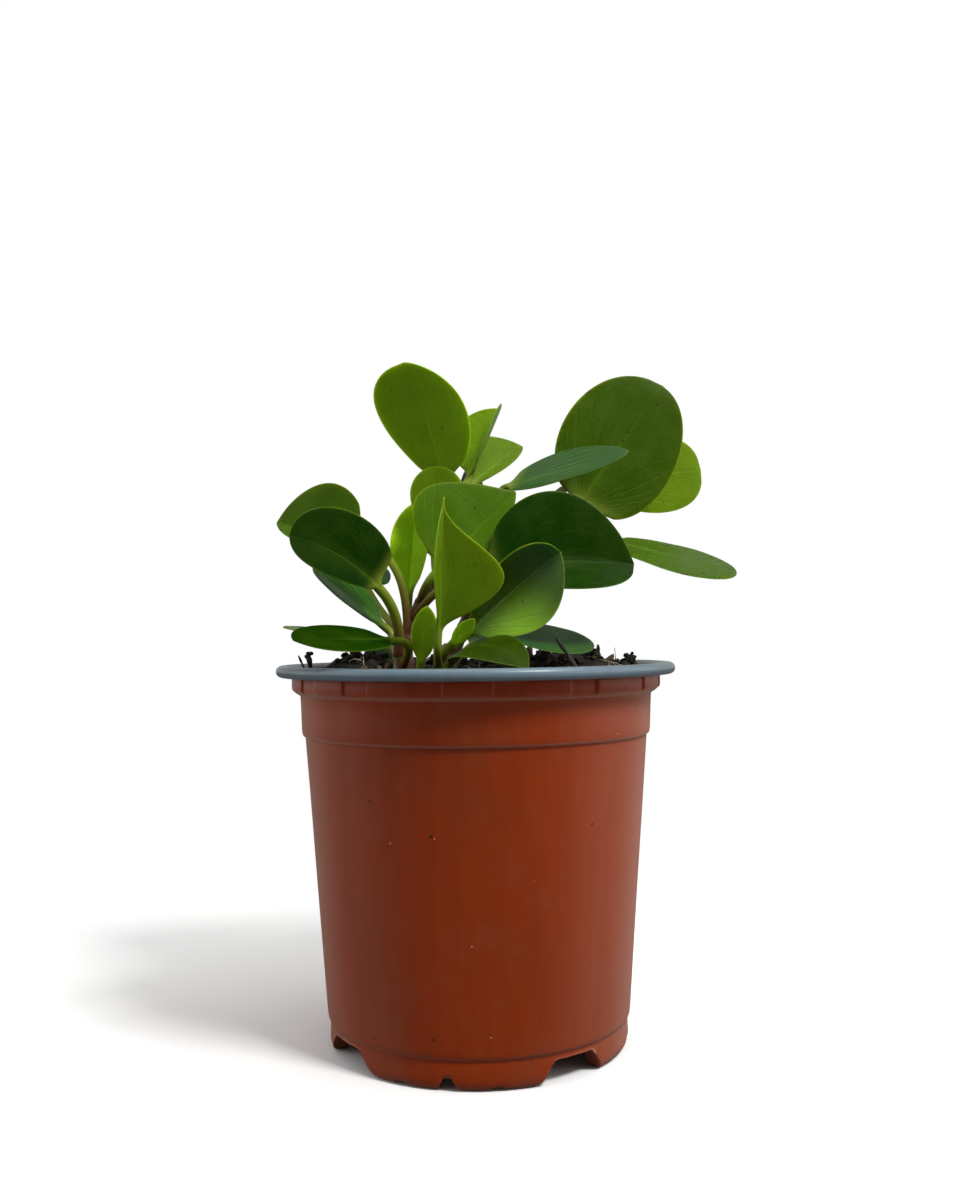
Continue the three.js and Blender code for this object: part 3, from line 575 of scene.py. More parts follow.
def catmull(points, place):
    """A place on the smooth line through points."""
    k = min(int(place), len(points) - 2)
    t = place - k
    a, b, c, d = (Vector(points[min(max(i, 0), len(points) - 1)]) for i in range(k - 1, k + 3))
    return 0.5 * (2 * b + (c - a) * t + (2 * a - 5 * b + 4 * c - d) * t ** 2
                  + (3 * b - a - 3 * c + d) * t ** 3)


def ring_faces(rings, size, start=0):
    """Quads between rings of the same size, outside out where they run upwards."""
    faces = []
    for row in range(rings - 1):
        here, above = start + row * size, start + (row + 1) * size
        for a in range(size):
            b = (a + 1) % size
            faces.append((here + a, here + b, above + b, above + a))
    return faces


def add_tube(heap, line, radii, sides):
    """Adds a round tube along line, closed by a point at each end."""
    places = heap.places
    start = len(places)
    last = len(line) - 1
    for k, centre in enumerate(line):
        along = (line[min(k + 1, last)] - line[max(k - 1, 0)]).normalized()
        across = Vector((0, 1, 0.02)).cross(along).normalized()
        other = along.cross(across)
        for a in range(sides):
            turn = 2 * math.pi * a / sides
            places.append(centre + radii[k] * (math.cos(turn) * across + math.sin(turn) * other))
    places.append(line[0])
    places.append(line[-1] + (line[-1] - line[-2]).normalized() * 0.5 * radii[-1])
    heap.faces += ring_faces(last + 1, sides, start)
    low, high = len(places) - 2, len(places) - 1
    top = start + last * sides
    for a in range(sides):
        b = (a + 1) % sides
        heap.faces += [(low, start + b, start + a), (high, top + a, top + b)]


# Pot

# Stacking pads: how wide they are and where the first starts, in degrees, and how far they stand out.
PAD_ANGLE = 13.9
PAD_START = -8.9
PAD_HEIGHT = 0.6
# Gaps between the feet: the middle of each, and how many degrees to each side it is open at the
# floor. At its top each gap is open GAP_TOP degrees to each side.
FOOT_GAPS = {36: 15.5, 124: 17, 213: 17, 302: 19}
GAP_TOP = 7.5
GAP_HEIGHT = 6.8
FEET = (-11, 79, 169, 259)
# Notches in a foot's lower edge: degrees from the foot's middle, half the width in degrees, depth.
NOTCHES = {-17.4: (3.2, 1.3), 0: (3.4, 3.7), 17.4: (3.2, 1.3)}
DRAIN_HOLES = (32, 122, 212, 302)
DRAIN_RADIUS = 4
DRAIN_CIRCLE = 27
DRAIN_STEPS = 32
FLOOR = 6.8
FOOT_OUTSIDE = 44.6
UNEVENNESS = 0.12
OUTER_LAYER, INNER_LAYER = range(2)

# The section's points, radius and height, from the inside of the foot ring up the outside.
FOOT_RING = ((39.5, FLOOR), (39.6, 4.5), (40.0, 1.0), (40.5, 0.25), (41.4, 0), (42.6, 0.05),
             (43.5, 0.5), (44.1, 1.2), (44.4, 2.2), (44.5, 3.4), (44.45, 5), (44.4, 7.4),
             (44.3, 8.1), (44.45, 8.45), (44.9, 8.8), (45.1, 9.3))
WALL_FOOT, WALL_HEAD = (45.2, 10.4), (51.35, 90.8)
WALL_STEPS = (0, 0.04, 0.1, 0.2, 0.3, 0.4, 0.5, 0.6, 0.7, 0.8, 0.9, 0.97)
STEP_OUT = ((51.35, 90.9), (51.4, 91.25), (51.5, 91.45), (51.85, 91.55), (52.1, 91.75),
            (52.25, 92.2), (52.4, 93.2), (52.5, 96), (52.65, 100), (52.8, 103.1), (52.95, 103.5),
            (53.3, 103.8), (53.8, 104.05), (54.3, 104.4))
# The ring under the rim. The third number is how far a pad pushes the point out.
PAD_RING = ((54.65, 104.8, 0.2), (54.85, 105.3, 0.8), (54.9, 105.9, 1), (54.9, 107, 1),
            (54.9, 108.3, 1), (54.95, 108.7, 0.9), (55.1, 109.0, 0.5), (55.5, 109.1, 0.2),
            (56.3, 109.0, 0))
ROLL_ANGLES = (-100, 95)
ROLL_STEPS = 16
# Down the inside: radius and how far below the top of the rim, and then radius and height again.
RIM_INSIDE = ((56.9, 0.05), (56.3, 0.35), (55.6, 0.45), (54.9, 0.8), (54.2, 1.7), (53.7, 2.8),
              (53.1, 3.6))
WALL_INSIDE = ((52.2, 108.2), (51.9, 107.6), (51.4, 100), (51.1, 92.6), (50.6, 92.0),
               (50.2, 91.2), (49.3, 80), (46.6, 45), (44.3, 13.5), (43.4, 9.5))
FLOOR_EDGE = 42.2
# Heights of the moulded lips that carry a painted highlight: below the pads, and on the step.
LIP_HIGHLIGHTS = ((103.7, 104.6), (91.45, 92.1))


def arc(centre, radius, start, end, steps):
    """Points on an arc of the pot's section: radius and height, with angles in degrees."""
    turns = [math.radians(lerp(start, end, k / steps)) for k in range(steps + 1)]
    return [(centre[0] + radius * math.cos(t), centre[1] + radius * math.sin(t)) for t in turns]


def pot_section(pot):
    """The wall's section from the inside of the foot ring, up the outside and down the inside:
    (radius, height, how far a pad pushes it out). Also the number of points before the rim."""
    rim, roll, top = pot.rim_radius / MM, pot.rim_roll / MM, pot.height / MM
    wall = [(lerp(WALL_FOOT[0], WALL_HEAD[0], t), lerp(WALL_FOOT[1], WALL_HEAD[1], t))
            for t in WALL_STEPS]
    below = [(r, z, 0) for r, z in (*FOOT_RING, *wall, *STEP_OUT)] + [*PAD_RING]
    above = arc((rim - roll, top - roll), roll, *ROLL_ANGLES, ROLL_STEPS)
    above += [(r, top - drop) for r, drop in RIM_INSIDE]
    above += [*WALL_INSIDE, (FLOOR_EDGE, FLOOR + pot.wall / MM)]
    return below + [(r, z, 0) for r, z in above], len(below)


def pot_angles(pot):
    """Steps round the pot in degrees from the front, closer together at each pad and foot."""
    pitch = 360 / max(pot.pads, 1)
    wanted = [360 * k / pot.sides for k in range(pot.sides)]
    for k in range(pot.pads):
        for edge in (PAD_START + k * pitch, PAD_START + k * pitch + PAD_ANGLE):
            wanted += [edge + d for d in (-0.35, -0.12, 0.12, 0.35)]
    for gap, reach in FOOT_GAPS.items():
        wanted += [gap + side * (reach - d) for side in (-1, 1) for d in range(-1, 13)]
    for foot in FEET:
        for notch, (reach, depth) in NOTCHES.items():
            wanted += [foot + notch + reach * d / 6 for d in range(-8, 9)]
    kept = []
    for angle in sorted(a % 360 for a in wanted):
        if not kept or angle - kept[-1] > 0.1:
            kept.append(angle)
    return kept


def pad_share(pot, angle):
    """1 on a stacking pad, 0 between two, and steep at the pad's sides."""
    pitch = 360 / max(pot.pads, 1)
    into = (angle - PAD_START) % pitch
    if into > pitch - 0.5:
        return smooth(into, pitch - 0.3, pitch + 0.3)
    return smooth(into, -0.3, 0.3) * smooth(into, PAD_ANGLE + 0.3, PAD_ANGLE - 0.3)


def degrees_apart(a, b):
    return abs((a - b + 180) % 360 - 180)


def foot_lift(angle):
    """How high the foot ring's lower edge stands: gaps between the feet and notches in them."""
    lift = 0
    for gap, reach in FOOT_GAPS.items():
        lift = max(lift, GAP_HEIGHT * smooth(degrees_apart(angle, gap), reach, GAP_TOP))
    for foot in FEET:
        for notch, (reach, depth) in NOTCHES.items():
            off = degrees_apart(angle, foot + notch)
            lift = max(lift, depth * smooth(off, 1.3 * reach, 0.3 * reach))
    return lift


def wall_places(pot, section, angles):
    """A ring of places for each point of the section, a little uneven above the foot ring."""
    places = []
    for r, z, pad in section:
        for angle in angles:
            turn = math.radians(angle)
            out = r + pad * PAD_HEIGHT * pad_share(pot, angle)
            if z > 10:
                out += UNEVENNESS * noise.noise((3 * math.cos(turn), 3 * math.sin(turn), z / 30))
            up = max(z, foot_lift(angle)) if z < GAP_HEIGHT and r < FOOT_OUTSIDE else z
            places.append((out * math.sin(turn), -out * math.cos(turn), up))
    return places


def floor_mesh(pot, rings):
    """Both sides of the floor, each filled from its ring of the wall to the drain holes."""
    mesh = bmesh.new()
    for height, ring in zip((FLOOR, FLOOR + pot.wall / MM), rings):
        loops = [[mesh.verts.new(place) for place in ring]]
        for angle in DRAIN_HOLES:
            turn = math.radians(angle)
            centre = Vector((DRAIN_CIRCLE * math.sin(turn), -DRAIN_CIRCLE * math.cos(turn), height))
            round_hole = (2 * math.pi * k / DRAIN_STEPS for k in range(DRAIN_STEPS))
            loops.append([mesh.verts.new(centre + DRAIN_RADIUS * Vector((math.cos(a), math.sin(a), 0)))
                          for a in round_hole])
        edges = []
        for loop in loops:
            edges += [mesh.edges.new(ends) for ends in zip(loop, loop[1:] + loop[:1])]
        filled = bmesh.ops.triangle_fill(mesh, use_beauty=True, use_dissolve=False, edges=edges)
        for face in filled["geom"]:
            if isinstance(face, bmesh.types.BMFace) and (face.normal.z > 0) != (height > FLOOR):
                face.normal_flip()
    mesh.verts.index_update()
    return mesh


def add_floor(pot, heap, size):
    """Adds the floor between the wall's first and last ring, and the sides of its drain holes."""
    base = len(heap.places)
    mesh = floor_mesh(pot, (heap.places[:size], heap.places[-size:]))
    heap.places += [tuple(v.co) for v in mesh.verts]
    for face in mesh.faces:
        heap.faces.append(tuple(base + v.index for v in face.verts))
        heap.give(INNER_LAYER if face.normal.z > 0 else OUTER_LAYER)
    mesh.free()
    count = len(DRAIN_HOLES) * DRAIN_STEPS
    below, above = base + size, base + 2 * size + count
    for hole in range(0, count, DRAIN_STEPS):
        for k in range(DRAIN_STEPS):
            a, b = hole + k, hole + (k + 1) % DRAIN_STEPS
            heap.faces.append((below + a, above + a, above + b, below + b))
    heap.give(OUTER_LAYER)


def build_pot(pot):
    """One formed piece of two layers: terracotta outside, grey inside and on the rolled rim."""
    section, outside_count = pot_section(pot)
    angles = pot_angles(pot)
    size = len(angles)
    heap = Heap()
    heap.places = wall_places(pot, section, angles)
    faces = ring_faces(len(section), size)
    split = (outside_count + 1) * size
    for layer, share in ((OUTER_LAYER, faces[:split]), (INNER_LAYER, faces[split:])):
        heap.faces += share
        heap.give(layer)
    add_floor(pot, heap, size)

    wall = new_material("terracotta_plastic", "Plastic wear", {
        "Colour": tuple(pot.terracotta), "Mottle": (0.235, 0.030, 0.003),
        "Dust colour": (0.26, 0.12, 0.07), "Roughness": 0.38, "Dust": 0.12, "Dirt": 1.0},
        {"Specular IOR Level": 0.2}, 0.35)
    # Painted reflection: a pale tone where the wall turns away from the eye, for the bright surroundings
    # it would mirror, and painted highlights along the lips.
    painted_grazing_light_and_shade(wall, (0.42, 0.19, 0.13), 0.16, 0.5, LIP_HIGHLIGHTS)
    lining = new_material("grey_plastic", "Plastic wear", {
        "Colour": tuple(pot.lining), "Mottle": (0.12, 0.17, 0.205), "Dust colour": (0.25, 0.26, 0.25),
        "Roughness": 0.3, "Dust": 0.2, "Dirt": 0.4}, {"Specular IOR Level": 0.3}, 0.12)
    # Painted shade: a dark tone where the rim and the lining turn away from the eye.
    painted_grazing_light_and_shade(lining, (0.04, 0.055, 0.055), 0.1, 0.5)
    new_piece("nursery_pot", "pot", heap, [wall, lining])


# Soil

# Mounds: x, y, spread and height. Lumps: x, y, height and size. Twigs: both ends and the radius.
MOUNDS = ((25, 9, 14, 4.2), (-36, 24, 14, 3.2))
BACK_RISE = 4.2
LUMPS = ((37.3, 8, 113.4, 1.9), (37.0, 8, 115.1, 1.4), (47.3, 7, 112.2, 2.8), (40, 20, 110, 2.2),
         (24, 14, 112, 2.4), (20, 6, 112.5, 2.6), (-47, 2, 108.5, 3.0))
TWIGS = (((31, 10, 111), (27.5, 11, 117.0), 0.7), ((38, 10, 112), (38.5, 11, 117.5), 0.8),
         ((-50, 3, 107), (-54.4, 3, 115.2), 0.5), ((-49.6, 1, 106.5), (-50.8, 0, 115.6), 1.15),
         ((-51.7, 0.3, 114.4), (-49.7, -0.2, 116.2), 0.9),
         ((46, 8, 110), (49, 8, 115), 1.0), ((31.5, -22, 107), (23.3, -23, 119.8), 0.85),
         ((43, 8, 110), (43.5, 8, 116.6), 0.14))
TWIG_STEPS = 12
TWIG_SIDES = 9
TWIG_WANDER = 0.7
KNOBS = 16
# The filling's side, radius and height from its bottom up, and its top: edge, rings and steps round.
SOIL_BOTTOM = 8.4
SOIL_SIDE = ((41.8, SOIL_BOTTOM), (43.8, 13.3), (46.2, 45), (48.9, 80), (49.7, 90.6), (50.4, 93),
             (51.0, 100))
SOIL_EDGE = 50.9
SOIL_RINGS = 44
SOIL_STEPS = 180
# How far from the middle loose pieces lie.
CRUMB_REACH = 49.5
CHIP_REACH = 47
FIBRE_REACH = 48
FIBRE_END = 49
FIBRE_STEPS = 9
FIBRE_SIDES = 5
PEAT, BARK, TWIG, FIBRE = range(4)


def soil_height(soil, x, y):
    """The height of the soil: level, with mounds, a rise at the back and a rough surface."""
    mounds = sum(high * math.exp(-((x - mid_x) ** 2 + (y - mid_y) ** 2) / (2 * spread ** 2))
                 for mid_x, mid_y, spread, high in MOUNDS)
    rough = noise.fractal(Vector((x, y, 0)) / 7, 0.7, 2.1, 5) * 0.9
    rough += noise.fractal(Vector((x, y, 9)) / 1.9, 0.6, 2.0, 3) * 0.3
    back = BACK_RISE * smooth(y, -12, 28) * smooth(math.hypot(x, y), 51.5, 48)
    return soil.level / MM + mounds + back + rough


def ball(level):
    """A unit ball's places and faces."""
    mesh = bmesh.new()
    bmesh.ops.create_icosphere(mesh, subdivisions=level, radius=1)
    mesh.verts.index_update()
    made = [v.co.copy() for v in mesh.verts], [tuple(v.index for v in f.verts) for f in mesh.faces]
    mesh.free()
    return made


def scattered(chance, reach):
    """A random x and y, no further than reach from the middle."""
    turn = chance.uniform(0, 2 * math.pi)
    out = reach * math.sqrt(chance.random())
    return out * math.cos(turn), out * math.sin(turn)


def add_lump(heap, shape, centre, size, chance, owner, flat=0.75):
    """Adds a crumb: a ball pushed about by noise, turned any way."""
    ball_places, ball_faces = shape
    turn = Quaternion([chance.gauss(0, 1) for k in range(4)]).normalized()
    stretch = Vector((1, lerp(0.6, 1.0, chance.random()), flat * lerp(0.6, 1.1, chance.random())))
    offset = Vector([chance.random() for k in range(3)]) * 40
    start = len(heap.places)
    for point in ball_places:
        bulge = 1 + 0.55 * noise.noise(point * 1.7 + offset) + 0.3 * noise.noise(point * 4.2 + offset)
        heap.places.append(centre + turn @ (point * bulge * stretch * size))
    heap.faces += [tuple(start + k for k in face) for face in ball_faces]
    heap.give(owner)


def add_filling(heap, soil):
    """Adds the body of soil: a side that follows the pot's wall, and a rough top."""
    turns = [2 * math.pi * k / SOIL_STEPS for k in range(SOIL_STEPS)]
    for r, z in SOIL_SIDE:
        heap.places += [(r * math.cos(t), r * math.sin(t), z) for t in turns]
    for ring in range(SOIL_RINGS):
        r = SOIL_EDGE * (1 - ring / SOIL_RINGS)
        for t in turns:
            x, y = r * math.cos(t), r * math.sin(t)
            heap.places.append((x, y, soil_height(soil, x, y)))
    rings = len(SOIL_SIDE) + SOIL_RINGS
    heap.faces += ring_faces(rings, SOIL_STEPS)
    heap.places += [(0, 0, SOIL_BOTTOM), (0, 0, soil_height(soil, 0, 0))]
    low, high = len(heap.places) - 2, len(heap.places) - 1
    top = (rings - 1) * SOIL_STEPS
    for a in range(SOIL_STEPS):
        b = (a + 1) % SOIL_STEPS
        heap.faces += [(low, b, a), (high, top + a, top + b)]
    heap.give(PEAT)


def add_crumbs(heap, soil, chance, tiny, small):
    """Adds the crumbs of peat and the flatter chips of bark that lie about on the soil."""
    for k in range(soil.crumbs):
        x, y = scattered(chance, CRUMB_REACH)
        size = 0.35 + 1.1 * chance.random() ** 2
        centre = Vector((x, y, soil_height(soil, x, y) + 0.25 * size))
        owner = PEAT if chance.random() < 0.8 else BARK
        add_lump(heap, small if size > 0.8 else tiny, centre, size, chance, owner)
    for k in range(soil.chips):
        x, y = scattered(chance, CHIP_REACH)
        size = chance.uniform(1.3, 2.6)
        centre = Vector((x, y, soil_height(soil, x, y) + 0.3 * size))
        add_lump(heap, small, centre, size, chance, chance.choice((PEAT, BARK, BARK)), flat=0.45)


def add_lumps(heap, chance, small, fair):
    """Adds the big lumps, each with knobs all over it."""
    for x, y, z, size in LUMPS:
        centre = Vector((x, y, z))
        add_lump(heap, fair, centre, 0.95 * size, chance, PEAT)
        for k in range(KNOBS):
            about = Vector([chance.gauss(0, 1) for axis in range(3)]).normalized()
            owner = chance.choice((PEAT, PEAT, BARK))
            add_lump(heap, small, centre + about * 0.85 * size, 0.28 * size, chance, owner)


def add_twigs(heap):
    """Adds the twigs: crooked, thinner towards the end, with knots along them."""
    for start, end, radius in TWIGS:
        line, radii = [], []
        for k in range(TWIG_STEPS + 1):
            t = k / TWIG_STEPS
            here = Vector(start) * 0.1 + Vector((0, 0, 2.2 * t))
            off = Vector([noise.noise(here + Vector((9 * axis, 0, 0))) for axis in range(3)])
            off *= TWIG_WANDER * math.sin(math.pi * t)
            line.append(Vector(start).lerp(Vector(end), t) + off)
            radii.append(radius * lerp(1.0, 0.55, t) * (1 + 0.25 * math.sin(17 * t + start[0])))
        add_tube(heap, line, radii, TWIG_SIDES)
    heap.give(TWIG)


def add_fibres(heap, soil, chance):
    """Adds loose root fibres that wander over the soil, half of them arched."""
    for k in range(soil.fibres):
        x, y = scattered(chance, FIBRE_REACH)
        heading = chance.uniform(0, 2 * math.pi)
        lift = chance.uniform(0.1, 2.4) if chance.random() < 0.5 else 0.2
        stride = chance.uniform(0.4, 1.1)
        line = []
        for n in range(FIBRE_STEPS):
            arch = lift * math.sin(math.pi * n / (FIBRE_STEPS - 1))
            line.append(Vector((x, y, soil_height(soil, x, y) + 0.3 + arch)))
            heading += chance.gauss(0, 0.35)
            x, y = x + stride * math.cos(heading), y + stride * math.sin(heading)
            if math.hypot(x, y) > FIBRE_END:
                break
        if len(line) > 3:
            add_tube(heap, line, [chance.uniform(0.08, 0.16)] * len(line), FIBRE_SIDES)
    heap.give(FIBRE)


def earth_material(name, tone, dry, pale_grains, bump, shine=()):
    return new_material(name, "Crumbly earth", {
        "Colour": tuple(tone), "Dry colour": dry, "Pale grains": pale_grains}, shine, bump)


def build_soil(soil):
    """The peat that fills the pot, as one piece with all that lies on it."""
    chance = random.Random(41)
    tiny, small, fair = ball(1), ball(2), ball(3)
    heap = Heap()
    add_filling(heap, soil)
    add_crumbs(heap, soil, chance, tiny, small)
    add_lumps(heap, chance, small, fair)
    add_twigs(heap)
    add_fibres(heap, soil, chance)
    new_piece("peat_filling", "soil", heap, [
        earth_material("damp_peat", soil.peat, (0.022, 0.016, 0.010), 0.8, 1.0,
                       {"Specular IOR Level": 0.35}),
        earth_material("bark_chips", soil.bark, (0.13, 0.085, 0.035), 0.5, 0.7),
        earth_material("dark_twigs", soil.twig, (0.045, 0.032, 0.02), 0.2, 0.6),
        earth_material("root_fibres", soil.fibre, (0.5, 0.42, 0.3), 0.0, 0.2),
    ])


# Stems

SPAN_STEPS = 22
# How far past each of a stem's points an old leaf's ring lies, in spans, and half a ring's length.
OLD_NODE = 0.45
NODE_LENGTH = 0.9
TIP_STEPS = 4
TIP_STEP = 0.28


def build_stem(name, plant):
    """A tapering tube that swells where leaves stand or stood, with a rounded tip."""
    points, (thick, thin) = STEMS[name]["points"], STEMS[name]["radii"]
    nodes = [leaf["root"][1] for leaf in LEAVES.values() if leaf["root"][0] == name]
    nodes += [k + OLD_NODE for k in range(1, len(points) - 1)]
    count = (len(points) - 1) * SPAN_STEPS
    line = [catmull(points, k / SPAN_STEPS) for k in range(count + 1)]
    run = [0]
    for a, b in zip(line, line[1:]):
        run.append(run[-1] + (b - a).length)
    rings = [run[min(round(SPAN_STEPS * place), count)] for place in nodes]
    radii = []
    for k in range(count + 1):
        swell = sum(math.exp(-((run[k] - ring) / NODE_LENGTH) ** 2) for ring in rings)
        ridge = 0.03 * noise.noise(Vector((run[k] / 2.5, thick, 0)))
        radii.append(lerp(thick, thin, k / count) * (1 + plant.node_swelling * min(swell, 1) * 0.6
                                                     + ridge))
    for k in range(1, TIP_STEPS + 1):
        radii.append(radii[count] * math.cos(k * math.pi / 10))
        line.append(line[count] + (line[count] - line[count - 1]).normalized() * TIP_STEP * k)
    heap = Heap()
    add_tube(heap, line, radii, plant.sides)
    low, high = min(p[2] for p in points[1:]), max(p[2] for p in points)
    new_piece(name + "_flesh", name, heap, [stem_material(name, plant, low, high)])


def stem_material(name, plant, low, high):
    """Brown below and green above, by height, with long streaks and pores."""
    made, w, shader = blank_material(name + "_skin")
    place = w.node("TexCoord").outputs["Object"]
    up = w.node("SeparateXYZ", {0: place}).outputs["Z"]
    cloud = w.noise(place, 240.0, 4.0)
    long = w.node("Mapping", {"Vector": place, "Scale": (1.0, 1.0, 0.12)}).outputs[0]
    streak = w.noise(long, 900.0, 3.0)
    youth = w.math("ADD", w.step(up, lerp(low, high, 0.25) * MM, high * MM),
                   w.step(cloud, 0.3, 0.7, -0.25, 0.25), clamp=True)
    tone = w.mix(youth, tuple(plant.brown), tuple(plant.green))
    tone = w.tint(tone, (0.24, 0.10, 0.045), w.step(streak, 0.45, 0.7), 0.45)
    pores = w.spots(place, 900.0, 0.2, 0.1)
    tone = w.tint(tone, (0.30, 0.20, 0.10), pores, 0.7)
    height = w.math("ADD", w.math("MULTIPLY", streak, 0.12), w.math("MULTIPLY", pores, 0.05))
    w.surface(shader, tone, w.step(cloud, 0.3, 0.7, 0.38, 0.55), height, 1.0)
    return made


# Leaves

# The keel under the midrib, the soft valley above it, the blade's waves, and its very tip.
KEEL = 0.7
KEEL_WIDTH = 1.25
VALLEY_WIDTH = 1.6
WAVE = 0.22
TIP_HALF_WIDTH = 0.35
# The share of the blade over which the petiole flattens, and the petiole's steps and swollen root.
BLADE_START = 0.22
PETIOLE_STEP = 0.9
ROOT_SWELLING = 0.32
ROOT_LENGTH = 2.6


def leaf_curves(leaf):
    """The petiole's and the blade's curves, each by its three points, and the blade's face."""
    root = leaf["root"]
    root = catmull(STEMS[root[0]]["points"], root[1]) if isinstance(root[0], str) else Vector(root)
    neck, tip = Vector(leaf["neck"]), Vector(leaf["tip"])
    chord = tip - neck
    along = chord.normalized()
    front = Vector((0, -1, 0))
    facing = (front - along * front.dot(along)).normalized()
    turn = math.radians(leaf["turn"])
    face = facing * math.cos(turn) + along.cross(facing) * math.sin(turn)
    side = along.cross(face)
    bend = neck + chord / 2 + face * 2 * leaf.get("bow", 0) + side * 2 * leaf.get("skew", 0)
    lead = (neck - root).length * leaf.get("lead", 0.5)
    before = neck - (bend - neck).normalized() * lead
    return (root, before, neck), (neck, bend, tip), face


def on_curve(curve, t):
    """A place on a curve by three points, and the curve's direction there."""
    a, b, c = curve
    place = a * (1 - t) ** 2 + b * 2 * t * (1 - t) + c * t ** 2
    along = ((b - a) * 2 * (1 - t) + (c - b) * 2 * t).normalized()
    return place, along


def half_width(leaf, k, s, stalk):
    """Half the blade's width on side k at s, from 0 at the neck to 1 at the tip."""
    p, q = pair(leaf.get("p", 0.72))[k], pair(leaf.get("q", 0.5))[k]
    peak = (p / (p + q)) ** p * (q / (p + q)) ** q
    outline = pair(leaf["width"])[k] / 2 * (s ** p * (1 - s) ** q) / peak
    return max(math.hypot(outline, stalk * (1 - s)), TIP_HALF_WIDTH)


def section_point(half, fold, cup, j):
    """One half of the section: an arc that leaves the midrib at angle fold and turns by cup."""
    if cup < 1e-4:
        return half * j * math.cos(fold), half * j * math.sin(fold)
    end = fold + cup * j
    return (half * (math.sin(end) - math.sin(fold)) / cup,
            half * (math.cos(fold) - math.cos(end)) / cup)


def leaf_ring(leaf, plant, curve, t, s, face, columns, swell, seed):
    """The ring at s: the upper side from left to right and then the lower side back again, with
    half the blade's width on each side."""
    centre, along = on_curve(curve, t)
    normal = (face - along * face.dot(along)).normalized()
    side = along.cross(normal)
    blend = smooth(s, 0, leaf.get("base", BLADE_START))
    usual = plant.stalk / MM
    stalk = leaf.get("stalk", usual) * (1 + swell)
    thick = plant.thickness / MM / 2
    halves = [half_width(leaf, k, s, usual) for k in (0, 1)]
    tip_taper = math.sqrt(max(1 - s ** 16, 0.12))
    upper, lower = [], []
    for j in columns:
        k = 0 if j < 0 else 1
        turn = math.pi / 2 * (1 - j * (1 - 0.5 / len(columns)))
        round_x, round_z = stalk * math.cos(turn), stalk * math.sin(turn)
        fold = math.radians(pair(leaf.get("fold", 0))[k])
        cup = math.radians(pair(leaf.get("cup", 0))[k])
        x, z = section_point(halves[k], fold, cup, abs(j))
        x *= math.copysign(1, j)
        # Near the midrib the two halves meet in a soft valley instead of a crease.
        crease = math.sin(fold) * 0.9 * math.exp(-(x / VALLEY_WIDTH) ** 2)
        edge = math.sqrt(max(1 - abs(j) ** 12, 0.02)) * lerp(0.72, 1.0, 1 - j * j) * tip_taper
        keel = KEEL * (1 - s) * math.exp(-(x / KEEL_WIDTH) ** 2)
        wave = WAVE * noise.noise(Vector((j * 1.4, 4 * s, seed))) * abs(j)
        middle = z + crease * 0.5 + wave
        beside = centre + side * lerp(round_x, x, blend)
        upper.append(beside + normal * lerp(round_z, middle + thick * edge, blend))
        lower.append(beside + normal * lerp(-round_z, middle - thick * edge - keel, blend))
    return upper + lower[::-1], halves


def build_leaf(name, plant):
    """One closed skin: a round petiole that flattens into the blade."""
    leaf = LEAVES[name]
    petiole, blade, face = leaf_curves(leaf)
    half_count = plant.columns // 2
    columns = [math.sin(math.pi / 2 * k / half_count) for k in range(-half_count, half_count + 1)]
    size = 2 * len(columns)
    seed = 7.3 * list(LEAVES).index(name)
    reach = sum((b - a).length for a, b in zip(petiole, petiole[1:]))
    heap = Heap()
    marks = []

    def ring(curve, t, s, mapped, swell):
        made, halves = leaf_ring(leaf, plant, curve, t, s, face, columns, swell, seed)
        heap.places += made
        for side in (1, 0):
            for j in columns if side else columns[::-1]:
                marks.append((0.5 + 0.5 * j, mapped, side, halves[0 if j < 0 else 1] / WIDTH_UNIT))

    petiole_rings = max(8, int(reach / PETIOLE_STEP))
    for k in range(petiole_rings):
        t = k / petiole_rings
        ring(petiole, t, 0, t - 1, ROOT_SWELLING * math.exp(-t * reach / ROOT_LENGTH))
    for k in range(plant.rings + 1):
        even = k / plant.rings
        s = (even + (1 - math.cos(math.pi * even)) / 2) / 2
        ring(blade, s, s, s, 0)
    rings = petiole_rings + plant.rings + 1
    heap.faces = ring_faces(rings, size)
    end = (rings - 1) * size
    for a in range(len(columns) - 1):
        b, c, d = a + 1, size - 2 - a, size - 1 - a
        heap.faces.append((a, d, c, b))
        heap.faces.append((end + a, end + b, end + c, end + d))

    def corner(first):
        return lambda polygon: [marks[v][first + k] for v in polygon.vertices for k in (0, 1)]

    new_piece(name + "_blade", name, heap,
              [leaf_material(name, leaf, plant)], {"blade": corner(0), "place": corner(2)})


def scaled(tone, factor):
    """A lighter or darker tone."""
    return tuple(min(x * factor, 1) for x in tone)


def mixed(a, b, t):
    return tuple(lerp(x, y, t) for x, y in zip(a, b))


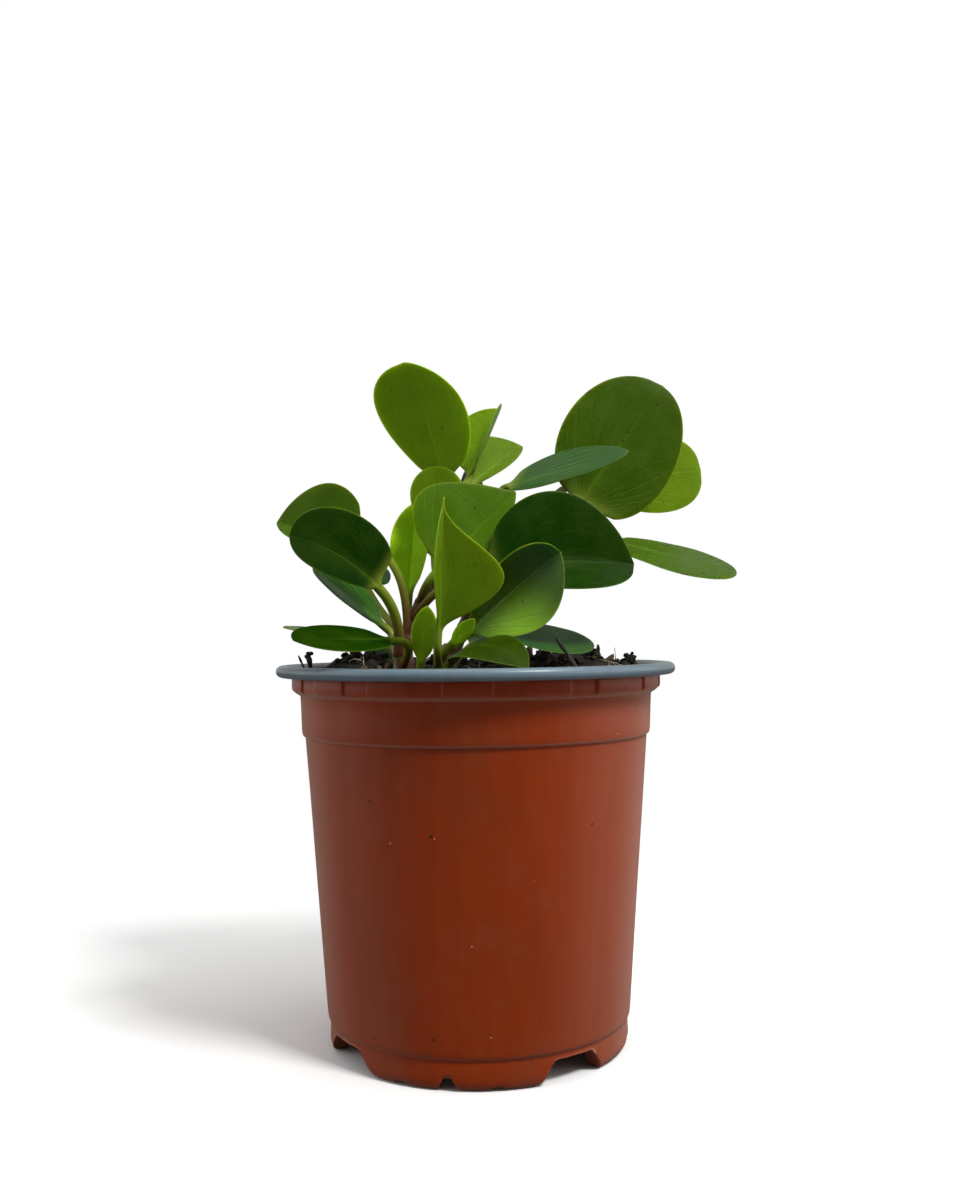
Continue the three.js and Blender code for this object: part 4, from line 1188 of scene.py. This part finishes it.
def leaf_material(name, leaf, plant):
    """The leaf's tones, worked out from its age's tone, and its shine. The light factor is partly the
    leaf's own tone and partly painted light and shade, and the lit half is painted light.
    """
    light = leaf.get("light", 1.0)
    hue = leaf.get("shade", leaf["tone"])
    # The light factor scales the tone, partly for the leaf's own tone and partly as painted light and
    # shade.
    tone = scaled(getattr(plant, hue), light)
    vein, stalk = tuple(plant.vein), tuple(plant.petiole)
    dark = hue == "dark"
    values = {
        "Blade": tone,
        "Mottle": mixed(scaled(tone, 1.15), (0.12, 0.18, 0.01), 0.06),
        "Tip": getattr(plant, leaf["end"])[:] if "end" in leaf else mixed(
            scaled(tone, 0.85), (0.12, 0.16, 0.01), 0.12),
        "Tip amount": 1.0 if "end" in leaf else 0.35,
        # Painted light on the right half, where it faces the lamp.
        "Half": tuple(plant.half),
        "Half amount": leaf.get("half", 0.0),
        "Vein": mixed(scaled(tone, 1.7), vein, 0.25),
        "Margin": mixed(scaled(tone, 1.8), vein, 0.4),
        "Underside": mixed(scaled(tone, 1.2), (0.11, 0.17, 0.05), 0.4),
        "Petiole": stalk,
        "Petiole end": tuple(plant.petiole_end),
        "Vein amount": leaf.get("veins", 0.06),
        "Rib amount": 0.38,
        "Specks": leaf.get("specks", 0.7),
        "Roughness": leaf.get("rough", 0.33 if dark else 0.36),
    }
    shine = {"Specular IOR Level": leaf.get("gloss", 0.05),
             "Subsurface Weight": 0.15 if dark else 0.5,
             "Subsurface Radius": (1.0, 1.0, 0.2), "Subsurface Scale": 2 * MM}
    return new_material(name + "_tissue", "Leaf tissue", values, shine)


# Stage

FLOOR_HALF = 3.0
# How far from the pot the floor begins to turn white, and where it is white, in metres.
FLOOR_FADE = (0.08, 0.45)
# Lamps: place and width, in metres. They look at the middle of the plant.
LAMPS = {"top_light": ((0.12, -0.05, 0.85), 0.7), "key_light": ((0.45, -0.48, 0.92), 0.22)}
LAMP_AIM = 0.12
# Camera: place in millimetres from the pot's axis, and how it looks up and leans, in degrees.
CAMERA_PLACE = (1.6, -357, 120.65)
CAMERA_CLIMB = 1.76
CAMERA_LEAN = 0.63


def floor_material(stage):
    """Pale beside the pot and white further off, so that no horizon shows. What the floor throws
    back at the plant has its own tone."""
    made, w, shader = blank_material("pale_floor")
    place = w.node("TexCoord").outputs["Object"]
    seen = w.node("LightPath").outputs["Is Camera Ray"]
    away = w.node("VectorMath", {0: place}, operation="LENGTH").outputs["Value"]
    far = w.math("MULTIPLY", w.step(away, *FLOOR_FADE), seen)
    tone = w.mix(w.noise(place, 6.0, 3.0), scaled(stage.floor, 0.985), tuple(stage.floor))
    tone = w.mix(seen, tuple(stage.bounce), tone)
    w.link(w.mix(far, tone, (0, 0, 0)), shader.inputs["Base Color"])
    w.link(w.mix(far, (0, 0, 0), (1, 1, 1)), shader.inputs["Emission Color"])
    shader.inputs["Emission Strength"].default_value = 1.0
    shader.inputs["Roughness"].default_value = 0.9
    shader.inputs["Specular IOR Level"].default_value = 0.0
    return made


def add_floor_plane(stage):
    corners = [(-1, -1), (1, -1), (1, 1), (-1, 1)]
    mesh = bpy.data.meshes.new("floor")
    mesh.from_pydata([(x * FLOOR_HALF, y * FLOOR_HALF, 0) for x, y in corners], [], [(0, 1, 2, 3)])
    mesh.materials.append(floor_material(stage))
    floor = bpy.data.objects.new("floor", mesh)
    bpy.context.scene.collection.objects.link(floor)


def build_sky(stage):
    """White surroundings, dimmer on the side behind the camera. The camera sees plain white."""
    world = bpy.data.worlds.new("studio")
    bpy.context.scene.world = world
    world.use_nodes = True
    w = Wiring(world.node_tree)
    background = world.node_tree.nodes["Background"]
    ray = w.node("SeparateXYZ", {0: w.node("TexCoord").outputs["Generated"]})
    depth = w.step(ray.outputs["Y"], -0.6, 0.5, stage.front, stage.sky)
    level = w.math("MAXIMUM", depth, w.step(ray.outputs["Z"], 0.35, 0.9, 0.0, stage.sky))
    beside = w.math("ABSOLUTE", ray.outputs["X"])
    level = w.math("MAXIMUM", level, w.step(beside, 0.6, 0.95, 0.0, stage.beside))
    seen = w.node("LightPath").outputs["Is Camera Ray"]
    w.link(w.math("MAXIMUM", level, seen), background.inputs["Strength"])
    background.inputs["Color"].default_value = (1, 1, 1, 1)


def add_softbox(name, power):
    """A square area light that looks at the plant."""
    place, size = LAMPS[name]
    light = bpy.data.lights.new(name, "AREA")
    light.energy = power
    light.size = size
    lamp = bpy.data.objects.new(name, light)
    lamp.location = place
    aim = Vector((POT_AXIS.x, POT_AXIS.y, LAMP_AIM)) - Vector(place)
    lamp.rotation_mode = "QUATERNION"
    lamp.rotation_quaternion = aim.to_track_quat("-Z", "Y")
    bpy.context.scene.collection.objects.link(lamp)


def add_camera(stage):
    """The camera looks along the photograph's line of sight, almost level."""
    camera = bpy.data.objects.new("camera", bpy.data.cameras.new("camera"))
    camera.data.lens = stage.lens
    camera.data.sensor_width = 36
    camera.data.clip_start = 0.01
    climb, lean = math.radians(CAMERA_CLIMB), math.radians(CAMERA_LEAN)
    ahead = Vector((0, math.cos(climb), math.sin(climb)))
    right = Vector((1, 0, 0))
    over = right.cross(ahead)
    across = right * math.cos(lean) - over * math.sin(lean)
    above = right * math.sin(lean) + over * math.cos(lean)
    axes = Matrix((across, above, -ahead)).transposed()
    spot = POT_AXIS + Vector(CAMERA_PLACE) * MM
    camera.matrix_world = Matrix.Translation(spot) @ axes.to_4x4()
    bpy.context.scene.collection.objects.link(camera)
    bpy.context.scene.camera = camera
    bpy.context.scene.view_settings.view_transform = "Standard"


# Operators

class PEPEROMIA_OT_stage(bpy.types.Operator):
    """Make the floor, the light and the camera"""
    bl_idname = "peperomia.stage"
    bl_label = "Stage"

    def execute(self, context):
        stage = context.scene.peperomia_stage
        add_floor_plane(stage)
        build_sky(stage)
        add_softbox("top_light", stage.lamp)
        add_softbox("key_light", stage.key)
        add_camera(stage)
        return {"FINISHED"}


class PEPEROMIA_OT_pot(bpy.types.Operator):
    """Make the nursery pot with its rolled rim, stacking pads and feet"""
    bl_idname = "peperomia.pot"
    bl_label = "Pot"

    def execute(self, context):
        build_pot(context.scene.peperomia_pot)
        return {"FINISHED"}


class PEPEROMIA_OT_soil(bpy.types.Operator):
    """Make the peat with its crumbs, bark, twigs and fibres"""
    bl_idname = "peperomia.soil"
    bl_label = "Soil"

    def execute(self, context):
        build_soil(context.scene.peperomia_soil)
        return {"FINISHED"}


class PEPEROMIA_OT_stems(bpy.types.Operator):
    """Make the four stems"""
    bl_idname = "peperomia.stems"
    bl_label = "Stems"

    def execute(self, context):
        for name in STEMS:
            build_stem(name, context.scene.peperomia_stems)
        return {"FINISHED"}


class PEPEROMIA_OT_leaves(bpy.types.Operator):
    """Make the leaves, each on its own petiole"""
    bl_idname = "peperomia.leaves"
    bl_label = "Leaves"

    def execute(self, context):
        for name in LEAVES:
            build_leaf(name, context.scene.peperomia_leaves)
        return {"FINISHED"}


SETTINGS = {"stage": StageSettings, "pot": PotSettings, "soil": SoilSettings,
            "stems": StemSettings, "leaves": LeafSettings}
STEPS = (PEPEROMIA_OT_stage, PEPEROMIA_OT_pot, PEPEROMIA_OT_soil, PEPEROMIA_OT_stems,
         PEPEROMIA_OT_leaves)


class PEPEROMIA_PT_panel(bpy.types.Panel):
    """Lists each piece's button with its sizes and colours"""
    bl_label = "Potted Peperomia"
    bl_idname = "PEPEROMIA_PT_panel"
    bl_space_type = "VIEW_3D"
    bl_region_type = "UI"
    bl_category = "Peperomia"

    def draw(self, context):
        for key, step in zip(SETTINGS, STEPS):
            box = self.layout.box()
            box.operator(step.bl_idname)
            settings = getattr(context.scene, "peperomia_" + key)
            for prop in type(settings).__annotations__:
                box.prop(settings, prop)


CLASSES = (*SETTINGS.values(), *STEPS, PEPEROMIA_PT_panel)


def register():
    for one in CLASSES:
        bpy.utils.register_class(one)
    for key, group in SETTINGS.items():
        setattr(bpy.types.Scene, "peperomia_" + key, PointerProperty(type=group))


def unregister():
    for key in SETTINGS:
        delattr(bpy.types.Scene, "peperomia_" + key)
    for one in reversed(CLASSES):
        bpy.utils.unregister_class(one)


def main():
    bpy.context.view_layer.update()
    register()
    bpy.ops.peperomia.stage()
    bpy.ops.peperomia.pot()
    bpy.ops.peperomia.soil()
    bpy.ops.peperomia.stems()
    bpy.ops.peperomia.leaves()


if __name__ == "__main__":
    main()
